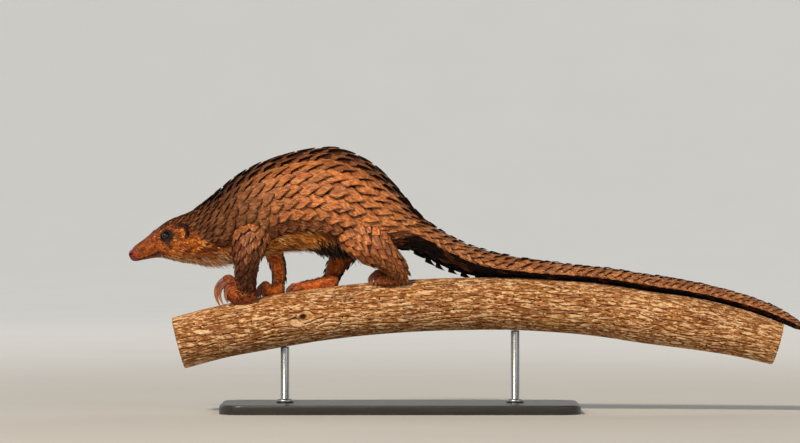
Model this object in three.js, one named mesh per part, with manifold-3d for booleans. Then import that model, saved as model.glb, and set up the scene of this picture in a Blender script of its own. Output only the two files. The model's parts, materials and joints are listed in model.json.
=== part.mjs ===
// A tree pangolin walking along a branch, life size, as a still display model on a plain stand.
// Millimetres, +Z up. The animal faces -X, its left side is at -Y, and the origin is the centre
// of the underside of the stand's base.
import * as THREE from 'three';
import { mergeVertices } from 'three/addons/utils/BufferGeometryUtils.js';
import Module from 'manifold-3d';

const wasm = await Module();
wasm.setup();

// Driving sizes, in millimetres unless a comment says otherwise

// Gap kept between pieces that meet.
const GAP = 0.3;
// Seed of the small differences between one scale and the next.
const SEED = 7;

// The body's line from the nose to the tip of the tail. Each row holds the line's x, y and z, the
// height of the body above and below the line, half its width, and its roll in degrees.
const BODY = [
  // Nose pad and muzzle
  [-346, 0, 200.6, 0.8, 0.8, 0.9, 0],
  [-344.5, 0, 201, 4, 3.8, 4, 0],
  [-341, 0, 202.4, 7, 6.8, 7, 0],
  [-333, 0, 206, 11.2, 11, 10.5, 0],
  [-321, 0, 211, 14.5, 14, 13.5, 0],
  // Brow, cheeks and crown
  [-308, 0, 216, 19.5, 19.5, 18, 0],
  [-293, 0, 220.5, 25.3, 27.5, 22.5, 0],
  [-275, 0, 224.5, 29.2, 33, 26, 0],
  // Neck
  [-257, 0, 228, 33.5, 37.5, 29.5, 0],
  [-236, 0, 235, 39, 43.5, 35, 0],
  // Shoulders, back and haunches
  [-211, 0, 245, 46.5, 51, 43, 0],
  [-182, 0, 257, 55, 58, 50, 0],
  [-153, 0, 266, 60.5, 61, 55, 0],
  [-122, 0, 270, 66, 63, 57, 0],
  [-94, 0, 268, 72, 64, 58, 0],
  [-68, 0, 262, 68, 61, 58, 0],
  [-43, 0, 253, 58, 53, 55, 0],
  [-20, 0, 243, 45, 40, 50, 2],
  // Root of the tail
  [0, 1, 232, 33.5, 25, 43, 6],
  [20, 2, 221, 27.5, 12, 37, 12],
  [39, 4, 209.5, 26.5, 6.5, 34, 16],
  // The tail comes down to the branch and lies along it
  [65, 6, 196.5, 26, 5, 32, 17],
  [93, 7.5, 186, 25.5, 4.6, 30.5, 16],
  [129, 8.5, 178, 24, 4, 29, 15],
  [180, 8.7, 172.5, 22, 3.4, 27, 15],
  [249, 8.7, 168.5, 18, 3.1, 25, 14],
  [319, 8.5, 158.5, 18.2, 3, 23, 14],
  [387, 8, 148, 17, 3, 21, 14],
  [437, 7, 136, 16.3, 2.8, 19.5, 14],
  [476, 6, 124.5, 13, 2.6, 17, 13],
  [499, 5, 115.5, 10, 2.6, 13.5, 12],
  [513, 4.5, 109, 6.2, 2.3, 9, 12],
  [519, 4.3, 106.5, 1.2, 1, 1.8, 12],
];

// Spacing of the rings of scales and the thickness of a scale's tip, both by the body's x. The
// visible length of a scale is two spacings.
const SCALE_SPACING = [
  [-348, 4.4], [-300, 5.2], [-262, 6.6], [-228, 8.6], [-180, 11], [-60, 12], [0, 10.6],
  [40, 9.6], [150, 8.8], [300, 7.8], [430, 6.8], [519, 5.4],
];
const SCALE_THICKNESS = [
  [-348, 0], [-322, 0.1], [-300, 0.8], [-262, 1.3], [-228, 1.8], [-150, 2.5], [0, 2.6], [40, 2.2],
  [150, 2], [300, 1.7], [430, 1.4], [519, 0.9],
];
// How far round from the middle of the back the scales reach, in degrees, by the body's x. The
// chin, throat and belly below that are furred, and the muzzle is bare.
const SCALE_REACH = [
  [-312, 0], [-306, 30], [-270, 38], [-257, 55], [-246, 76], [-236, 108], [-215, 124],
  [-180, 134], [-100, 134], [-60, 140], [-20, 152], [-4, 180],
];

// The body's runs of even scales, each with its columns of scales, whether they are keeled, and the
// lengths that the run is parted into, with the x at which each ends.
const BODY_RUNS = [
  {
    columns: 24, keeled: true, colour: 0x8d6242,
    parts: [['head', -262], ['neck', -228], ['shoulders', -149], ['back', -96], ['rump', 8]],
  },
  { columns: 16, keeled: false, colour: 0x8a5c40, parts: [['tail_1', 74], ['tail_2', 150]] },
  {
    columns: 12, keeled: false, colour: 0x7e563c,
    parts: [['tail_3', 238], ['tail_4', 330], ['tail_5', 424], ['tail_6', 530]],
  },
];
// How far a run's tube is made past each of its ends before it is trimmed.
const RUN_MARGIN = 26;
// From this x onwards the tail lies on the branch, and its underside is smooth.
const TAIL_LIES_FROM = 118;

// Each leg's line from inside the body down to the ankle. Each row holds x, the distance out from
// the body's middle plane, z, the reach of the leg forwards and backwards, and half its width.
const FORELEG_LEFT = [
  [-186, 21, 252, 27, 27, 17],
  [-189, 32, 231, 27, 26, 18],
  [-193, 40, 210, 22, 20, 15.5],
  [-196, 37, 190, 16.5, 15.5, 13],
  [-197, 29, 175, 14, 13.5, 11.5],
  [-197, 20, 161, 12.6, 12, 11],
];
const FORELEG_RIGHT = [
  [-178, 21, 246, 22, 22, 17],
  [-171, 32, 224, 18.5, 17.5, 15],
  [-163, 37, 203, 12.2, 11.6, 11.5],
  [-158, 33, 186, 10, 9.8, 10],
  [-156, 25, 172, 9, 8.7, 9.2],
  [-158, 18, 160, 8, 8, 9],
];
const HINDLEG_LEFT = [
  [-54, 26, 252, 38, 38, 22],
  [-46, 34, 231, 36, 34.5, 20],
  [-32, 41, 212, 26.5, 25.5, 18],
  [-17, 39, 197.5, 18.3, 18.3, 15],
  [-5, 31, 186, 14.4, 14.7, 12.5],
  [0, 22, 176, 12.2, 12.2, 11.5],
];
const HINDLEG_RIGHT = [
  [-64, 26, 240, 31, 31, 20],
  [-68, 34, 216, 23, 22, 16],
  [-76, 38, 197, 15.7, 15, 12.5],
  [-85, 32, 182, 12, 11.8, 11],
  [-89, 23, 171, 10, 10, 10],
];

// Each foot's line from the heel to the front of the sole. Each row holds x, the distance out, z,
// the height above and below the line, and half the width.
const FOREFOOT_LEFT = [
  [-184.5, 17, 160, 1.3, 1.3, 2],
  [-187, 17, 158.5, 7.7, 9, 7],
  [-196, 16, 154.5, 11, 16, 10.5],
  [-206, 14, 153, 10.3, 16, 11.5],
  [-215, 12.5, 154.5, 9, 12, 11.5],
  [-219, 12, 159.5, 7.6, 8.5, 10.5],
  [-221.5, 12, 164.5, 4.1, 4.6, 7],
];
const FOREFOOT_RIGHT = [
  [-149, 17.5, 164, 1.3, 1.3, 2],
  [-152, 17.5, 162.5, 6.4, 8, 6],
  [-159, 17, 158.5, 8.5, 14, 9],
  [-166.5, 16, 156, 7.7, 12.5, 10],
  [-173, 15, 157, 6.7, 10.5, 9.5],
  [-177, 14.5, 159.5, 3.9, 5, 6],
];
const HINDFOOT_LEFT = [
  [8.5, 19, 179.5, 1.3, 1.3, 2],
  [5, 19, 178, 7.7, 7.7, 7],
  [-4, 18, 173.5, 11, 12, 10.5],
  [-15, 16, 170.5, 9.8, 9.8, 11.5],
  [-26, 14.5, 170.5, 8.7, 9, 11.5],
  [-32, 14, 172, 5.5, 5.5, 8.5],
];
const HINDFOOT_RIGHT = [
  [-79.5, 19, 173, 1.3, 1.3, 2],
  [-82, 19, 171.5, 6.4, 6.4, 6],
  [-90, 18, 168, 8.5, 14, 9.5],
  [-105, 17, 164.5, 7.7, 12, 10],
  [-123, 16, 161, 7.2, 10.5, 10.5],
  [-134, 15, 159, 6.5, 9.5, 10.5],
  [-139, 14.5, 158.5, 4, 5, 7],
];

// The four legs: the line of the leg and of its foot, the side, where the knee or elbow parts the
// leg, how much of its top is hidden in the body, the spacing and thickness of its scales, and the
// middle claw's place on the foot's line, its length and depth, and how far the claws spread.
const LEGS = [
  {
    name: 'foreleg', foot: 'forefoot', side: 'left', line: FORELEG_LEFT, sole: FOREFOOT_LEFT,
    columns: 12, hidden: 22, parted: 48, spacing: 7.4, thickness: 1.4,
    claw: { at: [-224, 12, 170], length: 38, depth: 4.4, spread: 10.6, hook: 1 },
  },
  {
    name: 'foreleg', foot: 'forefoot', side: 'right', line: FORELEG_RIGHT, sole: FOREFOOT_RIGHT,
    columns: 10, hidden: 24, parted: 48, spacing: 7.4, thickness: 1.2,
    claw: { at: [-176, 14.5, 163], length: 22, depth: 3.4, spread: 8.2, hook: 0.8 },
  },
  {
    name: 'hindleg', foot: 'hindfoot', side: 'left', line: HINDLEG_LEFT, sole: HINDFOOT_LEFT,
    columns: 12, hidden: 20, parted: 52, spacing: 8, thickness: 1.6,
    claw: { at: [-31, 14, 178], length: 23, depth: 3.4, spread: 8.4, hook: 0.6 },
  },
  {
    name: 'hindleg', foot: 'hindfoot', side: 'right', line: HINDLEG_RIGHT, sole: HINDFOOT_RIGHT,
    columns: 12, hidden: 26, parted: 44, spacing: 7.6, thickness: 1.3,
    claw: { at: [-139, 14.5, 161], length: 18, depth: 3, spread: 8, hook: 0.5 },
  },
];
// Room left round a leg for the facets of its skin, besides the gap.
const LEG_SLACK = 0.4;
// Width of a claw against its depth, and the height of its point over the branch.
const CLAW_NARROWNESS = 0.6;
const CLAW_CLEARANCE = 0.6;
// The five digits of a foot from the inner one out: place across the spread, length against the
// middle claw's, and how far the digit is set back, as a share of the middle claw's length.
const DIGITS = [
  { across: -1, size: 0.5, back: 0.34 },
  { across: -0.52, size: 0.82, back: 0.1 },
  { across: 0, size: 1, back: 0 },
  { across: 0.52, size: 0.78, back: 0.12 },
  { across: 1, size: 0.52, back: 0.36 },
];

// The head's features, placed by x and by the angle round the body's line from the top of the head.
const EYE = { x: -299, angle: 69, radius: 5.9, depth: 3.6, lid: 1.5, opening: 5.2 };
const EAR = { x: -277.5, angle: 75, height: 10.5, width: 5.6, outward: 4, wall: 1.5 };
const NOSE = { x: -340.2, z: 202, length: 8.6, height: 8.4, width: 8.2 };
const NOSTRIL = { x: -344.4, angle: 84, length: 2.1, width: 1, depth: 4.5 };
// The line of the mouth from the middle of the chin to a corner, as x and angle, the angle by which
// the lip lies above it, and the radius of the groove and of the lip.
const MOUTH = {
  line: [[-341.5, 180], [-339, 160], [-333, 147], [-325, 139], [-315, 127]],
  lipAngle: 9, groove: 0.75, lip: 1.7,
};

// The line of the branch and its radius.
const BRANCH = [
  [-285, 0, 88.5, 33.4],
  [-230, 0, 103, 33.4],
  [-184, 0, 112, 33.7],
  [-145, 0, 119, 33.8],
  [-105, 0, 125, 33.4],
  [-46, 0, 132, 33.4],
  [26, 0, 137.2, 33.4],
  [90, 0, 139.1, 33.4],
  [147, 0, 139, 33.4],
  [198, 0, 136.3, 33.4],
  [249, 0, 132, 33.6],
  [319, 0, 121.5, 33.4],
  [387, 0, 112, 32.7],
  [437, 0, 101.5, 30.2],
  [486, 0, 87, 27],
];
const SOLE_SIDES = 8;
const SOLE_SPACING = 10;
const BRANCH_SIDES = 18;
const BRANCH_RING_SPACING = 54;
const BARK_DEPTH = 1.4;

// The stand: a flat base with rounded corners and two rods up to the branch.
const BASE = { length: 460, width: 190, thickness: 12, corner: 30 };
const ROD = { radius: 5.5, sides: 12, x: { front: -148, rear: 148 } };

const DEGREES = Math.PI / 180;

// Numbers between 0 and 1 that come out the same every time.
function seededRandom(seed) {
  let state = seed;
  return () => {
    state = (state + 0x6d2b79f5) | 0;
    let mixed = Math.imul(state ^ (state >>> 15), 1 | state);
    mixed = (mixed + Math.imul(mixed ^ (mixed >>> 7), 61 | mixed)) ^ mixed;
    return ((mixed ^ (mixed >>> 14)) >>> 0) / 4294967296;
  };
}

// The value at x of a table of [x, value] rows, straight between rows and level past its ends.
function valueAt(table, x) {
  if (x <= table[0][0]) {
    return table[0][1];
  }
  for (let k = 1; k < table.length; k += 1) {
    const [x0, value0] = table[k - 1];
    const [x1, value1] = table[k];
    if (x <= x1) {
      return value0 + ((value1 - value0) * (x - x0)) / (x1 - x0);
    }
  }
  return table[table.length - 1][1];
}

// A smooth line through the rows of a table, measured by the length along it. The first three
// numbers of a row are a point and the others are sizes, which never swing past their neighbours.
function makeTrack(rows, reference) {
  const knots = [0];
  for (let k = 1; k < rows.length; k += 1) {
    const [a, b] = [rows[k - 1], rows[k]];
    knots.push(knots[k - 1] + Math.hypot(b[0] - a[0], b[1] - a[1], b[2] - a[2]));
  }
  const last = rows.length - 1;
  const rate = (k, c) => (rows[k + 1][c] - rows[k][c]) / (knots[k + 1] - knots[k]);
  const slopeAt = (k, c) => {
    if (k === 0) {
      return rate(0, c);
    }
    if (k === last) {
      return rate(last - 1, c);
    }
    const before = knots[k] - knots[k - 1];
    const after = knots[k + 1] - knots[k];
    const slope = (rate(k - 1, c) * after + rate(k, c) * before) / (before + after);
    if (c < 3) {
      return slope;
    }
    if (rate(k - 1, c) * rate(k, c) <= 0) {
      return 0;
    }
    const limit = 3 * Math.min(Math.abs(rate(k - 1, c)), Math.abs(rate(k, c)));
    return Math.sign(slope) * Math.min(Math.abs(slope), limit);
  };
  const slopes = rows.map((row, k) => row.map((_, c) => slopeAt(k, c)));
  return { rows, knots, slopes, length: knots[last], reference: new THREE.Vector3(...reference) };
}

// The section of a track at a length along it: its centre, the way along, the way up, the way
// across, and its sizes. Past either end the line runs on straight.
function sectionAt(track, s) {
  const { rows, knots, slopes, reference } = track;
  const inside = Math.min(Math.max(s, 0), track.length);
  let k = 0;
  while (k < knots.length - 2 && knots[k + 1] < inside) {
    k += 1;
  }
  const span = knots[k + 1] - knots[k];
  const t = (inside - knots[k]) / span;
  const values = rows[k].map((from, c) => {
    const to = rows[k + 1][c];
    const [m0, m1] = [slopes[k][c] * span, slopes[k + 1][c] * span];
    return (
      (2 * t ** 3 - 3 * t ** 2 + 1) * from + (t ** 3 - 2 * t ** 2 + t) * m0 +
      (3 * t ** 2 - 2 * t ** 3) * to + (t ** 3 - t ** 2) * m1
    );
  });
  const rates = rows[k].map((from, c) => {
    const to = rows[k + 1][c];
    const [m0, m1] = [slopes[k][c] * span, slopes[k + 1][c] * span];
    return (
      (6 * t ** 2 - 6 * t) * from + (3 * t ** 2 - 4 * t + 1) * m0 +
      (6 * t - 6 * t ** 2) * to + (3 * t ** 2 - 2 * t) * m1
    );
  });
  const along = new THREE.Vector3(rates[0], rates[1], rates[2]).normalize();
  const up = reference.clone().addScaledVector(along, -reference.dot(along)).normalize();
  const across = along.clone().cross(up);
  const roll = (values[6] ?? 0) * DEGREES;
  const centre = new THREE.Vector3(values[0], values[1], values[2]);
  centre.addScaledVector(along, s - inside);
  return {
    centre,
    along,
    up: up.clone().multiplyScalar(Math.cos(roll)).addScaledVector(across, -Math.sin(roll)),
    across: across.clone().multiplyScalar(Math.cos(roll)).addScaledVector(up, Math.sin(roll)),
    above: values[3],
    below: values[4] ?? values[3],
    side: values[5] ?? values[3],
  };
}

// A point on the skin of a track: at a length along it and an angle round it from the top, raised
// by a height.
function skinPoint(track, s, angle, height = 0) {
  const section = sectionAt(track, s);
  const rise = Math.cos(angle) * ((Math.cos(angle) >= 0 ? section.above : section.below) + height);
  const swing = Math.sin(angle) * (section.side + height);
  return section.centre.addScaledVector(section.up, rise).addScaledVector(section.across, swing);
}

// The length along a track at which it reaches an x, for a track whose x grows all the way.
function lengthAtX(track, x) {
  let [low, high] = [0, track.length];
  for (let step = 0; step < 40; step += 1) {
    const middle = (low + high) / 2;
    if (sectionAt(track, middle).centre.x < x) {
      low = middle;
    } else {
      high = middle;
    }
  }
  return (low + high) / 2;
}

// Points and triangles gathered into one closed solid.
class Shell {
  constructor() {
    this.points = [];
    this.faces = [];
  }

  add(point) {
    this.points.push(point.x, point.y, point.z);
    return this.points.length / 3 - 1;
  }

  face(a, b, c) {
    if (a !== b && b !== c && c !== a) {
      this.faces.push(a, b, c);
    }
  }

  toSolid() {
    return new wasm.Manifold(new wasm.Mesh({
      numProp: 3,
      vertProperties: new Float32Array(this.points),
      triVerts: new Uint32Array(this.faces),
    }));
  }
}

// A solid made from a three.js geometry.
function solidFrom(geometry) {
  const bare = geometry.clone();
  bare.deleteAttribute('normal');
  bare.deleteAttribute('uv');
  const merged = mergeVertices(bare.index ? bare.toNonIndexed() : bare, 1e-4);
  return new wasm.Manifold(new wasm.Mesh({
    numProp: 3,
    vertProperties: new Float32Array(merged.attributes.position.array),
    triVerts: new Uint32Array(merged.index.array),
  }));
}

// Only the largest closed surface of a solid.
function largest(solid) {
  const pieces = solid.decompose();
  return pieces.reduce((best, piece) => (piece.volume() > best.volume() ? piece : best));
}

// A smooth closed tube along a track, with rings at the given lengths, grown all over by a margin.
function smoothTube(track, sides, lengths, margin = 0) {
  const shell = new Shell();
  const first = lengths[0] - margin;
  const last = lengths[lengths.length - 1] + margin;
  const stops = [first, ...lengths.slice(1, -1), last];
  const rings = stops.map((s) => {
    const ring = [];
    for (let j = 0; j < sides; j += 1) {
      ring.push(shell.add(skinPoint(track, s, (2 * Math.PI * j) / sides, margin)));
    }
    return ring;
  });
  const start = shell.add(sectionAt(track, first).centre);
  const end = shell.add(sectionAt(track, last).centre);
  for (let j = 0; j < sides; j += 1) {
    const next = (j + 1) % sides;
    for (let i = 0; i + 1 < rings.length; i += 1) {
      shell.face(rings[i][j], rings[i][next], rings[i + 1][next]);
      shell.face(rings[i][j], rings[i + 1][next], rings[i + 1][j]);
    }
    shell.face(start, rings[0][next], rings[0][j]);
    shell.face(end, rings[rings.length - 1][j], rings[rings.length - 1][next]);
  }
  return shell.toSolid();
}

// Evenly spaced lengths from one end of a stretch to the other.
function evenLengths(from, to, spacing) {
  const count = Math.max(2, Math.round((to - from) / spacing));
  return Array.from({ length: count + 1 }, (_, k) => from + ((to - from) * k) / count);
}

// Lengths from one end of a stretch to the other, with the spacing that each place asks for.
function spacedLengths(from, to, spacingAt) {
  const lengths = [from];
  while (lengths[lengths.length - 1] < to) {
    const here = lengths[lengths.length - 1];
    lengths.push(here + spacingAt(here));
  }
  const stretch = (to - from) / (lengths[lengths.length - 1] - from);
  return lengths.map((s) => from + (s - from) * stretch);
}

// A closed tube whose skin is a lattice of overlapping pointed scales. Cell (i, j) lies on ring i
// and column j, column 0 along the back, and every cell with i + j odd has room for one scale. A
// cell's corners are its root on the ring before, its tip on the ring after, and its two sides.
function scaledTube(track, columns, lengths, { keeled, isScaled, thicknessAt, liftAt, seed }) {
  const shell = new Shell();
  const random = seededRandom(seed);
  const lastRing = lengths.length - 1;
  const step = (2 * Math.PI) / columns;
  const wrap = (j) => (j + columns) % columns;
  const turn = (j) => (wrap(j) > columns / 2 ? wrap(j) - columns : wrap(j)) * step;
  const spacing = (i) => lengths[Math.min(i + 1, lastRing)] - lengths[Math.max(i - 1, 0)];

  const cells = new Map();
  const cellAt = (i, j) => cells.get(i * columns + wrap(j));
  for (let i = 0; i <= lastRing; i += 1) {
    for (let j = 0; j < columns; j += 1) {
      if ((i + j) % 2 === 1) {
        const inner = i > 1 && i < lastRing - 1;
        const scaled = inner && isScaled(lengths[i], turn(j));
        const variation = random() - 0.5;
        cells.set(i * columns + j, { i, j, scaled, variation, corners: {} });
      }
    }
  }

  // The bare skin lies between the tips and the roots of the scales.
  const barePoints = new Map();
  const barePoint = (i, j) => {
    const key = i * columns + wrap(j);
    if (!barePoints.has(key)) {
      const depth = 0.55 * thicknessAt(lengths[i]);
      barePoints.set(key, shell.add(skinPoint(track, lengths[i], turn(j), -depth)));
    }
    return barePoints.get(key);
  };
  const corner = (cell, name) => {
    const { i, j } = cell;
    const [di, dj] = { root: [-1, 0], tip: [1, 0], right: [0, 1], left: [0, -1] }[name];
    if (!cell.scaled) {
      return barePoint(i + di, wrap(j + dj));
    }
    if (cell.corners[name] === undefined) {
      const thickness = thicknessAt(lengths[i]);
      const reach = spacing(i) / 2;
      const shift = {
        root: [-0.1 * reach, 0, -thickness],
        tip: [(0.17 + 0.1 * cell.variation) * reach, 0, liftAt(lengths[i], turn(j), cell.variation)],
        right: [0, -0.05, -0.42 * thickness],
        left: [0, 0.05, -0.42 * thickness],
      }[name];
      const s = lengths[i + di] + shift[0];
      const angle = turn(j) + (dj + shift[1]) * step;
      cell.corners[name] = shell.add(skinPoint(track, s, angle, shift[2]));
    }
    return cell.corners[name];
  };

  for (const cell of cells.values()) {
    const { i, j } = cell;
    const [right, left] = [corner(cell, 'right'), corner(cell, 'left')];
    const root = i > 0 ? corner(cell, 'root') : null;
    const tip = i < lastRing ? corner(cell, 'tip') : null;
    if (cell.scaled && keeled) {
      // The top of a scale rises to a low keel along its middle.
      const height = -0.2 * thicknessAt(lengths[i]);
      const keel = shell.add(skinPoint(track, lengths[i], turn(j), height));
      shell.face(keel, root, right);
      shell.face(keel, right, tip);
      shell.face(keel, tip, left);
      shell.face(keel, left, root);
    } else if (root === null) {
      shell.face(right, tip, left);
    } else if (tip === null) {
      shell.face(root, right, left);
    } else {
      shell.face(root, right, tip);
      shell.face(root, tip, left);
    }
    if (i < lastRing) {
      // The steps from this scale's edges down to the scales that it overlaps.
      const onRight = cellAt(i + 1, j + 1);
      const onLeft = cellAt(i + 1, j - 1);
      shell.face(tip, right, corner(onRight, 'left'));
      shell.face(right, corner(onRight, 'root'), corner(onRight, 'left'));
      shell.face(left, tip, corner(onLeft, 'right'));
      shell.face(left, corner(onLeft, 'right'), corner(onLeft, 'root'));
    }
  }

  // The small gap where four cells meet under a scale's tip.
  for (let i = 1; i < lastRing; i += 1) {
    for (let j = 0; j < columns; j += 1) {
      if ((i + j) % 2 === 0) {
        const tip = corner(cellAt(i - 1, j), 'tip');
        const left = corner(cellAt(i, j + 1), 'left');
        const root = corner(cellAt(i + 1, j), 'root');
        const right = corner(cellAt(i, j - 1), 'right');
        if (tip !== root) {
          shell.face(tip, left, right);
          shell.face(left, root, right);
        }
      }
    }
  }

  const start = shell.add(sectionAt(track, lengths[0]).centre);
  const end = shell.add(sectionAt(track, lengths[lastRing]).centre);
  for (let j = 0; j < columns; j += 2) {
    shell.face(start, barePoint(0, j + 2), barePoint(0, j));
    const offset = j + (lastRing % 2);
    shell.face(end, barePoint(lastRing, offset), barePoint(lastRing, offset + 2));
  }
  return shell.toSolid();
}

// The part of a solid that lies past a section of its track, or before it.
function trimAt(solid, track, s, keepPast) {
  const { centre, along } = sectionAt(track, s);
  const normal = keepPast ? along : along.clone().negate();
  return solid.trimByPlane(normal.toArray(), normal.dot(centre) + GAP / 2);
}

// A closed horn along a bend of three points, widest at its flat root and pointed at its end.
function hornTube(root, bend, end, depth, width, margin = 0) {
  const shell = new Shell();
  const [rings, sides] = [4, 6];
  const curve = new THREE.QuadraticBezierCurve3(root, bend, end);
  const across = bend.clone().sub(root).cross(end.clone().sub(root)).normalize();
  const loops = [];
  for (let i = 0; i < rings; i += 1) {
    const t = i / rings;
    const along = curve.getTangent(t);
    const out = along.clone().cross(across);
    const taper = (1 - t) ** 0.62;
    const centre = curve.getPoint(t).addScaledVector(along, i === 0 ? -margin : 0);
    const loop = [];
    for (let j = 0; j < sides; j += 1) {
      const angle = (2 * Math.PI * j) / sides;
      const point = centre.clone();
      point.addScaledVector(out, Math.cos(angle) * (depth * taper + margin));
      point.addScaledVector(across, Math.sin(angle) * (width * taper + margin));
      loop.push(shell.add(point));
    }
    loops.push(loop);
  }
  const start = shell.add(root.clone().addScaledVector(curve.getTangent(0), -margin));
  const tip = shell.add(end.clone().addScaledVector(curve.getTangent(1), margin));
  for (let j = 0; j < sides; j += 1) {
    const next = (j + 1) % sides;
    for (let i = 0; i + 1 < rings; i += 1) {
      shell.face(loops[i][j], loops[i + 1][j], loops[i + 1][next]);
      shell.face(loops[i][j], loops[i + 1][next], loops[i][next]);
    }
    shell.face(start, loops[0][j], loops[0][next]);
    shell.face(tip, loops[rings - 1][next], loops[rings - 1][j]);
  }
  const solid = shell.toSolid();
  if (solid.volume() > 0) {
    return solid;
  }
  throw new Error('a horn is inside out');
}

const group = new THREE.Group();
group.name = 'pangolin';

function addNode(name, solid, colour, roughness, metalness = 0) {
  const mesh = largest(solid).getMesh();
  const geometry = new THREE.BufferGeometry();
  geometry.setAttribute('position', new THREE.BufferAttribute(mesh.vertProperties, 3));
  geometry.setIndex(new THREE.BufferAttribute(mesh.triVerts, 1));
  geometry.computeVertexNormals();
  const material = new THREE.MeshStandardMaterial({ color: colour, roughness, metalness });
  const node = new THREE.Mesh(geometry, material);
  node.name = name;
  group.add(node);
}

const UP = [0, 0, 1];
const FORWARD = [-1, 0, 0];

// Branch

const branchTrack = makeTrack(BRANCH, UP);
const branchLengths = evenLengths(0, branchTrack.length, BRANCH_RING_SPACING);

// The branch's own solid has low ridges and hollows of bark under its round outline.
function branchSolid() {
  const random = seededRandom(SEED);
  const shell = new Shell();
  const rings = branchLengths.map((s, i) => {
    const ring = [];
    for (let j = 0; j < BRANCH_SIDES; j += 1) {
      const angle = (2 * Math.PI * (j + 0.5 * (i % 2))) / BRANCH_SIDES;
      ring.push(shell.add(skinPoint(branchTrack, s, angle, -BARK_DEPTH * random())));
    }
    return ring;
  });
  const start = shell.add(sectionAt(branchTrack, 0).centre);
  const end = shell.add(sectionAt(branchTrack, branchTrack.length).centre);
  for (let j = 0; j < BRANCH_SIDES; j += 1) {
    const next = (j + 1) % BRANCH_SIDES;
    for (let i = 0; i + 1 < rings.length; i += 1) {
      const [here, there] = [rings[i], rings[i + 1]];
      if (i % 2 === 0) {
        shell.face(here[j], here[next], there[j]);
        shell.face(here[next], there[next], there[j]);
      } else {
        shell.face(here[j], here[next], there[next]);
        shell.face(here[j], there[next], there[j]);
      }
    }
    shell.face(start, rings[0][next], rings[0][j]);
    shell.face(end, rings[rings.length - 1][j], rings[rings.length - 1][next]);
  }
  return shell.toSolid();
}

// What rests on the branch stays clear of a round tube that holds all of it.
const branchRoom = smoothTube(
  branchTrack, BRANCH_SIDES, branchLengths,
  GAP + BRANCH[0][3] * (1 / Math.cos(Math.PI / BRANCH_SIDES) - 1));

// The height of the branch's upper surface at a place.
function branchHeight(x, y) {
  const section = sectionAt(branchTrack, lengthAtX(branchTrack, x));
  return section.centre.z + Math.sqrt(Math.max(0, section.side ** 2 - y ** 2));
}

// Body

const bodyTrack = makeTrack(BODY, UP);
const xAt = (s) => sectionAt(bodyTrack, s).centre.x;

function bodyTube({ columns, keeled }, from, to) {
  const lengths = spacedLengths(from, to, (s) => valueAt(SCALE_SPACING, xAt(s)));
  return scaledTube(bodyTrack, columns, lengths, {
    keeled,
    isScaled: (s, angle) => {
      const x = xAt(s);
      const resting = x > TAIL_LIES_FROM && Math.abs(angle) > 115 * DEGREES;
      return !resting && Math.abs(angle) < valueAt(SCALE_REACH, x) * DEGREES;
    },
    thicknessAt: (s) => valueAt(SCALE_THICKNESS, xAt(s)),
    // Along the tail's two edges the tips stand out in a saw edge.
    liftAt: (s, angle, variation) => {
      const onTail = THREE.MathUtils.smoothstep(xAt(s), 8, 45);
      const nearEdge = Math.max(0, 1 - Math.abs(Math.abs(angle) / DEGREES - 90) / 12);
      const thickness = valueAt(SCALE_THICKNESS, xAt(s));
      return thickness * (1.5 * onTail * nearEdge + 0.3 * variation);
    },
    seed: SEED + columns,
  });
}

const bodySolids = new Map();
let runStart = 0;
BODY_RUNS.forEach((run, index) => {
  const { colour, parts } = run;
  const runEnd = lengthAtX(bodyTrack, parts[parts.length - 1][1]);
  const tubeStart = Math.max(0, runStart - RUN_MARGIN);
  const tubeEnd = Math.min(bodyTrack.length, runEnd + RUN_MARGIN);
  const tube = bodyTube(run, tubeStart, tubeEnd);
  parts.forEach(([name, end], k) => {
    const isLast = index === BODY_RUNS.length - 1 && k === parts.length - 1;
    const from = k === 0 ? runStart : lengthAtX(bodyTrack, parts[k - 1][1]);
    const past = index + k > 0 ? trimAt(tube, bodyTrack, from, true) : tube;
    const solid = isLast ? past : trimAt(past, bodyTrack, lengthAtX(bodyTrack, end), false);
    bodySolids.set(name, { solid: solid.subtract(branchRoom), colour });
  });
  runStart = runEnd;
});

function cutFromBody(room, names) {
  for (const name of names) {
    const piece = bodySolids.get(name);
    piece.solid = piece.solid.subtract(room);
  }
}

// Legs, feet and claws

const TRUNK_NAMES = ['neck', 'shoulders', 'back', 'rump', 'tail_1'];
const mirrored = (rows, out) => rows.map(([x, y, ...rest]) => [x, y * out, ...rest]);

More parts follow.
